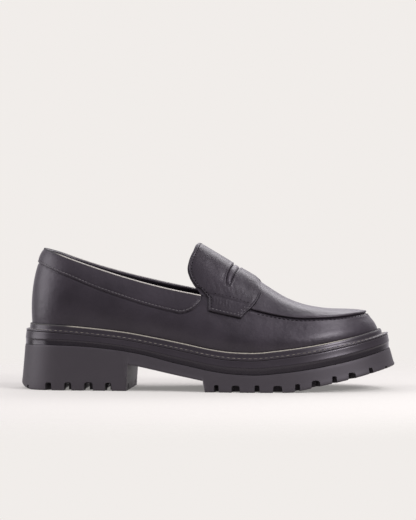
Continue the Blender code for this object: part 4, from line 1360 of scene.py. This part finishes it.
@dataclass(frozen=True)
class Welt:
    """The welt: its bead against the upper, its stitch groove and its margin."""

    last: Last
    finish: bpy.types.Material
    columns: int = 448
    under: float = -4.4
    inner: float = -10.0
    crest_spread: float = 1.55
    crest_height: float = 0.62
    rand_radius: float = 0.62
    shown: Rows = (
        (-0.4, -1.4), (0.0, -0.4), (0.35, 0.35), (1.2, 0.95), (2.1, 0.75), (2.55, -0.4), (2.75, -1.9),
        (3.1, -2.9), (3.6, -3.35), (4.1, -3.45), (4.6, -3.25), (5.1, -3.02), (6.1, -3.1), (6.9, -3.3),
        (7.05, -4.0), (6.9, -4.4),
    )

    def build(self) -> bpy.types.Object:
        """Build the welt as its section carried round the feather edge."""
        section = rounded(self.shown, 2)
        over = self.under + 3.0
        hidden = np.array([(self.inner, self.under), (self.inner, over), (-1.4, over)])
        section = np.concatenate([hidden, section])
        theta = around(self.columns)[:, None]
        skin = Skin()
        index = skin.add(self.last.ring(theta, section[None, :, 0], section[None, :, 1]))
        skin.face(index, wrap_rows=True, wrap_columns=True)
        return dress(skin.build("welt_strip", self.finish), "welt_gloss", "welt")

    def bead(self, finish: bpy.types.Material) -> bpy.types.Object:
        """Build the pale rand line on the crest of the bead: a painted highlight where light catches the
        glossy crest.
        """
        theta = around(self.columns)
        line = self.last.ring(theta, self.crest_spread, self.crest_height)
        rand = tube(line, np.broadcast_to(UP, line.shape), self.rand_radius, closed=True)
        return dress(rand.build("welt_rand_highlight", finish), "welt_gloss", "welt")


@dataclass(frozen=True)
class Midsole:
    """The glossy midsole band under the welt, with its shoulder, its belly and its recessed foot."""

    last: Last
    finish: bpy.types.Material
    columns: int = 448
    gap: float = 0.3
    shoulder: float = -4.7
    foot: Table = Table(
        (
            (-4.0, 15.2), (30.0, 13.9), (62.0, 13.0), (95.0, 13.1), (123.0, 14.6), (160.0, 14.7),
            (208.0, 15.6), (253.0, 15.7), (290.0, 15.1),
        ),
        4.0,
    )
    side: Rows = (
        (-10.3, 0.0), (5.6, 0.0), (6.6, -0.005), (7.0, 0.04), (7.2, 0.18), (7.5, 0.36), (7.78, 0.48),
        (7.86, 0.54), (7.74, 0.6), (7.62, 0.66), (7.66, 0.95), (7.7, 1.0),
    )

    def build(self) -> bpy.types.Object:
        """Build the band: spread and share of the way from its shoulder to its foot, carried round."""
        section = rounded(self.side, 2)
        theta = around(self.columns)[:, None]
        rings = self.last.ring(theta, section[None, :, 0], np.full((1, len(section)), self.shoulder))
        rings[..., 2] -= section[None, :, 1] * (self.foot(rings[..., 0]) + self.shoulder)
        core = self.last.ring(theta, np.array([[-10.3]]), np.array([[-self.gap]]))
        skin = Skin()
        skin.rings(np.concatenate([core, rings], axis=1))
        piece = skin.build("midsole_band", self.finish)
        self.mark(piece.data)
        return dress(piece, "midsole_gloss", "midsole")

    def mark(self, mesh: bpy.types.Mesh) -> None:
        """Store how far down the side each point lies, from 0 at the shoulder to 1 at the foot."""
        spots = np.empty(len(mesh.vertices) * 3)
        mesh.vertices.foreach_get("co", spots)
        spots = spots.reshape(-1, 3) / MM + ORIGIN
        station = spots[:, 0]
        down = (self.last.bed(station) + self.shoulder - spots[:, 2]) / (self.foot(station) + self.shoulder)
        mesh.attributes.new(WAY_DOWN, "FLOAT", "POINT").data.foreach_set("value", down)


@dataclass(frozen=True)
class Sock:
    """The sock on the insole, raised a little along its middle and worn a little smooth."""

    last: Last
    finish: bpy.types.Material
    columns: int = 240
    board: float = 3.0
    inset: float = 3.6

    def build(self) -> bpy.types.Object:
        """Build the sock from nested rings, each nearer its own spine, over its board.

        A ring at share k lies k of the way from the edge to the spine, and its height is the board's plus a
        low bulge toward the middle.
        """
        theta = around(self.columns)
        last = self.last
        edge = last.ring(theta, -self.inset, 0.0)
        spine_station = np.clip(edge[:, 0], 34.0, 238.0)
        spine = np.stack([spine_station, last.feather_rows(spine_station), 0 * theta], axis=-1)
        rings = [edge + UP * 0.3]
        shares = np.concatenate([[0.0, 0.004, 0.016, 0.04], np.linspace(0.08, 1.0, 14)])
        for k, tall in zip(shares, np.concatenate([[0.55, 0.85, 0.97], np.ones(15)])):
            ring = edge * (1 - k) + spine * k
            ring[:, 2] = last.bed(ring[:, 0]) + self.board * tall + 0.35 * ease(np.array(k), 0.05, 0.5)
            rings.append(ring)
        skin = Skin()
        skin.rings(np.stack(rings, axis=1))
        return dress(skin.build("insole_sock", self.finish), "insole_sock", "insole")


@dataclass(frozen=True)
class Outsole:
    """The matt outsole: block heel, arch and lugged forefoot, with notches, channel and cross grooves."""

    last: Last
    midsole: Midsole
    finish: bpy.types.Material
    columns: int = 320
    gap: float = 0.3
    breast: float = 84.5
    breast_lean: float = 1.2
    step: float = 144.0
    step_lean: float = 1.6
    toe_flare: float = 1.8
    heel_flare: float = 1.4
    tread: float = 5.5
    notch_reach: float = 13.0
    channel: float = 4.0
    channel_spread: float = -4.0
    groove_half: float = 2.2
    cut_below: float = 4.0
    channel_roof: float = 0.4
    groove_roof: float = 0.9
    heel_seat: Table = Table(((-4.0, 6.0), (0.0, 3.9), (4.0, 1.4), (11.0, 0.0), (90.0, 0.0)), 0.8)
    arch: Table = Table(
        ((80.0, 20.4), (92.0, 19.0), (101.0, 17.2), (120.0, 13.2), (138.0, 9.6), (150.0, 7.4)), 2.0
    )
    toe_spring: Table = Table(
        ((140.0, 0.0), (204.0, 0.0), (215.0, 1.3), (230.0, 4.6), (250.0, 8.8), (268.0, 13.3),
         (290.0, 19.4)), 1.5
    )
    side: Rows = (
        (7.7, 0.0, 0.0), (8.12, 0.012, 0.0), (8.3, 0.05, 0.0), (8.55, 0.2, 0.0), (8.9, 0.4, 0.0),
        (9.2, 0.58, 0.0), (9.6, 0.78, 0.0), (10.0, 1.0, 1.3), (9.93, 1.0, 0.62), (9.7, 1.0, 0.22),
        (9.2, 1.0, 0.0),
    )
    heel_notches: Rows = (
        (13.0, 2.6, 3.4), (26.0, 5.6, 6.0), (39.0, 6.0, 6.2), (55.0, 7.4, 6.4), (70.5, 5.4, 6.2),
    )
    tread_notches: Rows = (
        (154.0, 4.0, 5.6), (168.0, 6.8, 5.4), (183.5, 4.0, 5.6), (198.5, 7.4, 5.4), (212.5, 4.0, 5.6),
        (225.0, 7.0, 5.4), (237.5, 4.0, 5.6), (249.0, 6.6, 5.4), (260.5, 4.0, 5.4), (269.0, 3.2, 3.4),
    )
    grooves: tuple[float, ...] = (36.0, 52.0, 68.0, 160.0, 176.0, 192.0, 208.0, 224.0, 239.0)

    def underside(self, station: Points) -> Points:
        """Return the height of the underside: the heel's, then the arch's, then the tread's."""
        split = [station < self.breast + 0.01, station < self.step + 0.01]
        return np.select(split, [self.heel_seat(station), self.arch(station)], self.toe_spring(station))

    def angles(self) -> Points:
        """Return the angles of the columns, with the heel's breast and the tread's step among them."""
        last = self.last
        edges = np.array([self.breast, self.breast + self.breast_lean, self.step, self.step + self.step_lean])
        extra = angle_at(edges, last.feather_rear, last.feather_toe, Side.OUTER)
        near = np.arange(self.columns // 2 + 1) * 2 * math.pi / self.columns
        kept = near[np.min(np.abs(near[:, None] - extra[None]), axis=1) > 0.006]
        half = np.sort(np.concatenate([kept, extra]))
        return np.concatenate([half, 2 * math.pi - half[-2:0:-1]])

    def block(self) -> bpy.types.Object:
        """Build the outsole before it is cut: its side's section carried round, closed above and below."""
        last = self.last
        theta = self.angles()
        foot = last.feather(theta)
        station = foot[:, 0]
        out = last.outward(theta)
        spread = last.edge(station) / last.edge_spread
        stepped = (station > 30.0) & (station < 200.0)
        flare = ease(station, 235.0, 273.5) * self.toe_flare + ease(station, 34.0, 8.0) * self.heel_flare
        rings = []
        for wide, share, lift in self.side:
            ring = foot + out * (wide * spread + flare * share)[:, None]
            head = last.bed(ring[:, 0]) - self.midsole.foot(ring[:, 0]) - self.gap
            sole = self.underside(np.where(stepped, station, ring[:, 0])) + lift
            ring[:, 2] = head + (sole - head) * share
            rings.append(ring)
        skin = Skin()
        skin.rings(np.stack(rings, axis=1))
        return skin.build("outsole_block", self.finish)

    def notch(self, skin: Skin, row: tuple[float, ...], side: Side) -> None:
        """Add the cutter of one notch: a wedge with a rounded roof that runs in from the edge.

        Args:
            skin: The cutters' skin.
            row: Station on the feather edge, width at the floor, height.
            side: Side of the shoe.
        """
        last = self.last
        station, width, height = row
        theta = angle_at(np.array([station]), last.feather_rear, last.feather_toe, side)
        foot = last.feather(theta)[0]
        out = last.outward(theta)[0]
        along = np.array([-out[1], out[0], 0.0])
        edge = float(last.edge(foot[:1])[0]) / last.edge_spread * 10.0
        floor = float(self.underside(foot[0] + out[0] * edge * 0.6))
        half = width / 2
        turn = np.linspace(0.0, math.pi, 13)
        wide = np.sign(np.cos(turn)) * np.abs(np.cos(turn)) ** 0.55 * half * 0.9
        tall = floor + height - half * 0.6 + half * 0.6 * np.sin(turn) ** 0.8
        below = floor - self.cut_below
        profile = np.array([(half * 1.12, below), *zip(wide, tall), (-half * 1.12, below)])
        inner = foot + out * (edge - self.notch_reach)
        outer = foot + out * (edge + 8.0)
        loops = []
        for end in (inner, outer):
            loop = end + along * profile[:, :1]
            loop[:, 2] = profile[:, 1]
            loops.append(loop)
        skin.bar(np.stack(loops))

    def channel_cut(self, skin: Skin, first: float, middle: float, floor_rows: Table) -> None:
        """Add the cutter of the channel inside the edge lugs, from a station round by an end of the shoe."""
        last = self.last
        start = float(angle_at(np.array(first), last.feather_rear, last.feather_toe, Side.OUTER))
        theta = np.linspace(start, 2 * middle - start, 121)
        foot = last.feather(theta)
        out = last.outward(theta)
        spread = self.channel_spread
        floor = floor_rows(foot[:, 0] + out[:, 0] * spread)
        roof = self.tread - self.channel_roof
        below = -self.cut_below
        inner = spread - self.channel
        sections = []
        for inset, lift in ((spread, below), (spread - 0.1, roof), (inner + 0.1, roof), (inner, below)):
            ring = foot + out * inset
            ring[:, 2] = floor + lift
            sections.append(ring)
        skin.bar(np.stack(sections, axis=1))

    def cross_cut(self, skin: Skin, station: float) -> None:
        """Add the cutter of a groove straight across the middle of the tread."""
        last = self.last
        at = np.array([station])
        half = float(last.feather_rows(at, 2)[0]) + self.channel_spread - self.channel / 2
        centre = float(last.feather_rows(at)[0])
        floor = float(self.underside(at)[0])
        wide = self.groove_half
        roof = floor + self.tread - self.groove_roof
        below = floor - self.cut_below
        profile = [(-wide, below), (wide, below), (wide - 0.1, roof), (-wide + 0.1, roof)]
        loops = [[(station + a, centre + end * half, z) for a, z in profile] for end in (-1, 1)]
        skin.bar(np.array(loops))

    def build(self) -> bpy.types.Object:
        """Cut the block, round its edges a little, and keep the result as a plain mesh."""
        block = self.block()
        notches = Skin()
        for row in self.heel_notches + self.tread_notches:
            for side in Side:
                self.notch(notches, row, side)
        channels = Skin()
        self.channel_cut(channels, self.breast + 5.0, 0.0, self.heel_seat)
        self.channel_cut(channels, self.step - 4.0, math.pi, self.toe_spring)
        across = Skin()
        for station in self.grooves:
            self.cross_cut(across, station)
        cutters = [channels.build("cut_a", self.finish), notches.build("cut_b", self.finish),
                   across.build("cut_c", self.finish)]
        for cutter in cutters:
            cut = block.modifiers.new(cutter.name, "BOOLEAN")
            cut.operation = "DIFFERENCE"
            cut.solver = "EXACT"
            cut.object = cutter
        graph = bpy.context.evaluated_depsgraph_get()
        mesh = bpy.data.meshes.new_from_object(block.evaluated_get(graph))
        mesh.name = "outsole_lugs"
        for thing in (block, *cutters):
            bpy.data.objects.remove(thing, do_unlink=True)
        piece = finish_mesh(mesh, "outsole_lugs", self.finish, 35.0)
        return dress(piece, "outsole_rubber", "outsole")


def read_line(values: Points, run: Points, at: Points) -> Points:
    """Return points of a line at given lengths along it, read between its own points."""
    return np.stack([np.interp(at, run, values[:, k]) for k in range(3)], axis=-1)


@dataclass(frozen=True)
class Stitching:
    """Rows of stitches: each is a short bowed capsule of thread that dips at both ends."""

    finish: bpy.types.Material
    thread: float

    def row(self, skin: Skin, line: Points, facing: Points, pitch: float, length: float) -> None:
        """Add a row of stitches along a line.

        The line is read at even steps of its length. A point of a stitch is its middle plus along times u,
        plus across and facing times the radius r(1 - (2u)^4)^0.5, plus facing times a bow of 1 - (2u)^2.

        Args:
            skin: Skin that takes the stitches.
            line: Points along the row, on the leather.
            facing: Normals of the leather there.
            pitch: Distance from stitch to stitch.
            length: Length of a stitch.
        """
        legs = np.linalg.norm(np.diff(line, axis=0), axis=-1)
        run = np.concatenate([[0.0], np.cumsum(legs)])
        count = max(int(run[-1] / pitch), 1)
        middle = (np.arange(count) + 0.5) * run[-1] / count
        centre = read_line(line, run, middle)
        reach = length * 0.4
        along = unit(read_line(line, run, middle + reach) - read_line(line, run, middle - reach))
        up = unit(read_line(facing, run, middle))
        across = unit(np.cross(along, up))
        u = np.array([-0.5, -0.44, -0.28, 0.0, 0.28, 0.44, 0.5])
        turn = np.arange(6) * math.pi / 3
        radius = self.thread * np.sqrt(np.maximum(1 - (2 * u) ** 4, 0.0))
        bow = 0.22 * (1 - (2 * u) ** 2) - 0.12
        shift = (
            along[:, None, None] * (u * length)[None, :, None, None]
            + across[:, None, None] * (radius[:, None] * np.cos(turn))[None, :, :, None]
            + up[:, None, None] * (radius[:, None] * np.sin(turn) + bow[:, None])[None, :, :, None]
        )
        points = centre[:, None, None] + shift
        index = skin.add(points)
        ahead = np.roll(index, -1, axis=2)
        corners = [index[:, :-1], index[:, 1:], ahead[:, 1:], ahead[:, :-1]]
        skin.quads.append(np.stack(corners, axis=-1).reshape(-1, 4))

    def sewn(self, name: str, skin: Skin, slot: str) -> bpy.types.Object:
        """Make a piece of the rows in a skin."""
        return dress(skin.build(name, self.finish), slot)


@dataclass(frozen=True)
class Sewing:
    """Where the rows of stitches run on the shoe."""

    last: Last
    collar: Collar
    saddle: Saddle
    # dark is near black: partly the thread's own colour, partly painted shade of the stitch holes.
    dark: Stitching
    grey: Stitching
    # light is the taupe thread, pale as a painted highlight on the welt's dark stitches.
    light: Stitching
    welt_groove: tuple[float, float] = (4.1, -3.25)
    welt_stitch: tuple[float, float] = (4.1, 3.3)
    collar_inset: float = 1.45
    collar_stitch: tuple[float, float] = (2.7, 2.15)
    saddle_stitch: tuple[float, float] = (2.6, 1.6)
    second_row: float = 2.4
    apron_drop: float = 3.0
    apron_stitch: tuple[float, float] = (3.2, 2.3)

    def welt_row(self) -> bpy.types.Object:
        """Sew round the groove of the welt, in the taupe thread, whose pale tone is a painted highlight on
        the dark stitches.
        """
        theta = np.linspace(0.0, 2 * math.pi, 900)
        line = self.last.ring(theta, *self.welt_groove)
        skin = Skin()
        self.light.row(skin, line, np.broadcast_to(UP, line.shape), *self.welt_stitch)
        return self.light.sewn("welt_stitches", skin, "welt_gloss")

    def collar_row(self) -> bpy.types.Object:
        """Sew along the foot of the collar band, round both of its front ends."""
        collar = self.collar
        theta = collar.angles()[8:-8]
        deep = collar.band.depth(self.last.top_station(theta))
        full = collar.fullness(deep)
        below = deep - self.collar_inset * full
        line = collar.on(theta, below, 0.66 * full)
        facing = self.last.normal(theta, 1.0 - below / self.last.wall_length(theta))
        skin = Skin()
        self.grey.row(skin, line, facing, *self.collar_stitch)
        return self.grey.sewn("collar_stitches", skin, "collar_leather")

    def on_saddle(self, side: Side, station: Points, share: Points) -> tuple[Points, Points]:
        """Return a line on the saddle's outer face and its normals, by small steps across and along."""
        height = self.saddle.leather - 0.2 + self.saddle.relief(station, share)
        line = self.saddle.on(side, station, share, height)
        base = self.saddle.on(side, station, share, height - 1.0)
        return line, unit(line - base)

    def saddle_rows(self) -> bpy.types.Object:
        """Sew inside the saddle's rear and front edges, round its tabs, and along the seam over them."""
        saddle = self.saddle
        skin = Skin()
        pale = Skin()
        inset = saddle.stitch_inset
        for side in Side:
            rear = np.linspace(0.765, 2.0, 200)
            ahead = np.linspace(0.765, 1.0, 60)
            foot = np.linspace(0.0, 1.0, 80)
            low = 1 - saddle.tab_share + saddle.tab_share * inset / saddle.tab_deep
            first = float(saddle.rear(np.array([low]))[0]) + inset
            last = float(saddle.front_rows(np.array([low]))[0]) - inset
            dark_lines = [
                (saddle.rear(rear) + inset, rear),
                (149.5 + 27.0 * foot, 1.065 + 0.02 * np.sin(math.pi * foot)),
            ]
            grey_lines = [
                (saddle.front_rows(ahead) - inset, ahead),
                (saddle.front_rows(ahead) - inset - self.second_row, ahead),
                (first + (last - first) * foot, np.full_like(foot, low)),
            ]
            for stitching, into, lines in ((self.dark, skin, dark_lines), (self.grey, pale, grey_lines)):
                for station, share in lines:
                    line, facing = self.on_saddle(side, station, share)
                    stitching.row(into, line, facing, *self.saddle_stitch)
        self.grey.sewn("saddle_tab_stitches", pale, "saddle_leather")
        return self.dark.sewn("saddle_stitches", skin, "saddle_leather")

    def apron_row(self) -> bpy.types.Object:
        """Sew the vamp to the apron, just below the lip."""
        skin = Skin()
        for side in Side:
            station = self.last.top_angle(np.array([182.0, 263.3]), side)
            theta = np.linspace(station[0], station[1], 260)
            below = self.apron_drop / self.last.wall_length(theta)
            facing = self.last.normal(theta, 1.0 - below)
            line = self.last.surface(theta, 1.0 - below) + facing * 0.40
            self.dark.row(skin, line, facing, *self.apron_stitch)
        return self.dark.sewn("apron_stitches", skin, "leather_black")


@dataclass(frozen=True)
class Studio:
    """The pale floor, the soft lights and the camera at the photograph's angle."""

    azimuth: float = 3.8
    elevation: float = 0.9
    distance: float = 2.0
    lens: float = 180.0
    aim: tuple[float, float, float] = (0.0003, 0.0, 0.0986)
    paper: tuple[float, float, float] = (0.879, 0.847, 0.823)
    glow: tuple[float, float, float] = (0.93, 0.88, 0.95)
    gradients: tuple[tuple[str, float, float, float, float], ...] = (
        ("Z", 0.05, 0.65, 0.25, 0.66),
        ("Y", 0.45, 0.95, 0.0, 0.70),
    )
    lamps: tuple[tuple[str, tuple[float, ...], tuple[float, float], float], ...] = (
        ("behind", (0.30, 1.1, 0.95), (1.3, 0.6), 7.2),
        ("heel_side", (-1.08, -0.12, 0.45), (0.9, 1.1), 10.0),
        ("toe_side", (0.66, -0.62, 0.5), (0.28, 0.24), 6.0),
        ("toe_above", (0.62, -0.30, 1.05), (0.4, 0.3), 4.0),
    )
    floor_albedo: Colour = (0.475, 0.461, 0.443, 1.0)
    floor_glow: float = 0.25
    floor_radius: float = 1.2
    fade_start: float = 0.17
    fade_end: float = 0.50

    def camera(self) -> None:
        """Put the camera on a sphere round its aim and look at it."""
        a, e = math.radians(self.azimuth), math.radians(self.elevation)
        back = np.array([math.sin(a) * math.cos(e), -math.cos(a) * math.cos(e), math.sin(e)])
        data = bpy.data.cameras.new("portrait")
        data.lens = self.lens
        data.sensor_width = 36.0
        thing = bpy.data.objects.new("portrait", data)
        bpy.context.scene.collection.objects.link(thing)
        thing.location = np.array(self.aim) + back * self.distance
        thing.rotation_euler = (math.pi / 2 - e, 0.0, a)
        bpy.context.scene.camera = thing

    def world(self) -> None:
        """Show the paper's colour all round, and light the scene from above and behind.

        The light's strength is the sum of two straight ramps of the direction: axis, start, end and the
        strengths there.
        """
        graph = Graph(bpy.data.worlds.new("studio"))
        seen = graph.tree.nodes["Background"]
        seen.inputs["Color"].default_value = (*self.paper, 1.0)
        direction = graph.node("ShaderNodeTexCoord", {}, {}, "Generated")
        ramps = []
        for axis, start, end, least, most in self.gradients:
            part = graph.node("ShaderNodeSeparateXYZ", {}, {0: direction}, axis)
            ends = {"Value": part, "From Min": start, "From Max": end, "To Min": least, "To Max": most}
            ramps.append(graph.node("ShaderNodeMapRange", {}, ends))
        glow = {"Color": (*self.glow, 1.0), "Strength": ramps[0] + ramps[1]}
        lit = graph.node("ShaderNodeBackground", {}, glow)
        by_camera = graph.node("ShaderNodeLightPath", {}, {}, "Is Camera Ray")
        both = graph.node("ShaderNodeMixShader", {}, {0: by_camera, 1: lit, 2: Wire(graph, seen.outputs[0])})
        graph.feed(graph.tree.nodes["World Output"].inputs["Surface"], both)
        bpy.context.scene.world = graph.holder
        bpy.context.scene.view_settings.view_transform = "Standard"

    def light(
        self, name: str, at: tuple[float, ...], size: tuple[float, float], power: float
    ) -> None:
        """Hang a soft light that faces the shoe.

        Args:
            name: Name of the light.
            at: Its place, in metres.
            size: Its width and height.
            power: Its power in watts.
        """
        data = bpy.data.lights.new(name, "AREA")
        data.shape = "RECTANGLE"
        data.size, data.size_y = size
        data.energy = power
        thing = bpy.data.objects.new(name, data)
        bpy.context.scene.collection.objects.link(thing)
        thing.location = at
        direction = Vector((0.0, 0.0, 0.05)) - Vector(at)
        thing.rotation_mode = "QUATERNION"
        thing.rotation_quaternion = direction.to_track_quat("-Z", "Y")

    def floor(self) -> None:
        """Lay a round pale floor that fades into the paper's colour away from the shoe."""
        graph = Graph(bpy.data.materials.new("paper_floor"))
        away = graph.node("ShaderNodeVectorMath", {"operation": "LENGTH"}, {0: graph.coordinates()}, "Value")
        paper = graph.finished({
            "Base Color": self.floor_albedo,
            "Emission Color": (*self.paper, 1.0),
            "Emission Strength": self.floor_glow,
            "Roughness": 0.9,
            "Specular IOR Level": 0.0,
            "Alpha": graph.step(away, self.fade_start, self.fade_end, 1.0, 0.0),
        })
        mesh = bpy.data.meshes.new("floor")
        turn = around(96)
        rim = self.floor_radius * np.stack([np.cos(turn), np.sin(turn), 0 * turn], axis=-1)
        mesh.from_pydata(rim.tolist(), [], [list(range(96))])
        mesh.materials.append(paper)
        thing = bpy.data.objects.new("floor", mesh)
        bpy.context.scene.collection.objects.link(thing)
        thing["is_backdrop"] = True


def corners(box: tuple) -> list[list[float]]:
    """Return a box's two corners as plain lists."""
    return [[float(value) for value in corner] for corner in box]


def main() -> list[list[float]]:
    """Build the dressed shoe in its studio.

    Returns:
        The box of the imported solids, before anything was added.
    """
    solids = corners(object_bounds())
    last = Last()
    leather = Leather("leather_smooth").material()
    band_leather = Leather("leather_collar", gloss=0.43, grain=0.0008).material()
    strap_tones = ((0.0090, 0.0070, 0.0094, 1.0), (0.0190, 0.0152, 0.0198, 1.0))
    strap_leather = Leather("leather_saddle", *strap_tones, grain_depth=0.00003, shine=0.38).material()
    sock_leather = Leather("leather_sock", gloss=0.6, gloss_spread=0.06).material()
    gloss = ((0.017, 0.0140, 0.0175, 1.0), (0.027, 0.0228, 0.0275, 1.0), 0.34)
    glossy = Rubber("rubber_glossy", *gloss).material()
    # The midsole's rubber, with painted shade darkening the lower half of its side.
    shade_banded = ShadedBandRubber("rubber_painted_shade_band", *gloss).material()
    matt = Rubber("rubber_matt", (0.027, 0.0235, 0.027, 1.0), (0.036, 0.0315, 0.036, 1.0), 0.54).material()
    # Near black, partly the thread's own colour and partly painted shade of the stitch holes.
    dark = Thread("thread_dark_and_shade", (0.003, 0.0025, 0.003, 1.0), (0.008, 0.007, 0.008, 1.0), 0.05)
    grey = Thread("thread_grey", (0.075, 0.068, 0.075, 1.0), (0.15, 0.138, 0.145, 1.0))
    # The welt's stitches are dark; this pale taupe is a painted highlight on them.
    taupe_highlight = Thread("thread_taupe_highlight", (0.15, 0.135, 0.112, 1.0), (0.30, 0.275, 0.235, 1.0))
    # The topline's pale edge: partly the raw cut edge, partly a painted highlight.
    pale = CutEdgeHighlight("edge_pale_highlight").material()
    # The rand line's pale tone is a painted highlight on the welt's crest, dark round the heel and the toe.
    rand_highlight_tones = ((0.34, 0.315, 0.27, 1.0), (0.05, 0.046, 0.046, 1.0))
    rand = CutEdgeHighlight("edge_rand_highlight", *rand_highlight_tones, heel_end=-0.108, heel_fade=0.008, toe_end=0.118).material()

    band = Band(last)
    Vamp(last, band, leather).build()
    Lining(last, sock_leather).build()
    apron = Apron(last, leather)
    apron.build()
    collar = Collar(last, band, band_leather)
    collar.build()
    collar.cut_edge(pale)
    saddle = Saddle(last, apron, strap_leather)
    saddle.build()
    welt = Welt(last, glossy)
    welt.build()
    welt.bead(rand)
    midsole = Midsole(last, shade_banded)
    midsole.build()
    Outsole(last, midsole, matt).build()
    Sock(last, sock_leather).build()
    sizes = ((dark, 0.30), (grey, 0.27), (taupe_highlight, 0.36))
    threads = [Stitching(thread.material(), thickness) for thread, thickness in sizes]
    sewing = Sewing(last, collar, saddle, *threads)
    sewing.welt_row()
    sewing.collar_row()
    sewing.saddle_rows()
    sewing.apron_row()

    studio = Studio()
    studio.camera()
    studio.world()
    for lamp in studio.lamps:
        studio.light(*lamp)
    studio.floor()
    return solids


if __name__ == "__main__":
    logging.basicConfig(level=logging.INFO)
    packed = main()
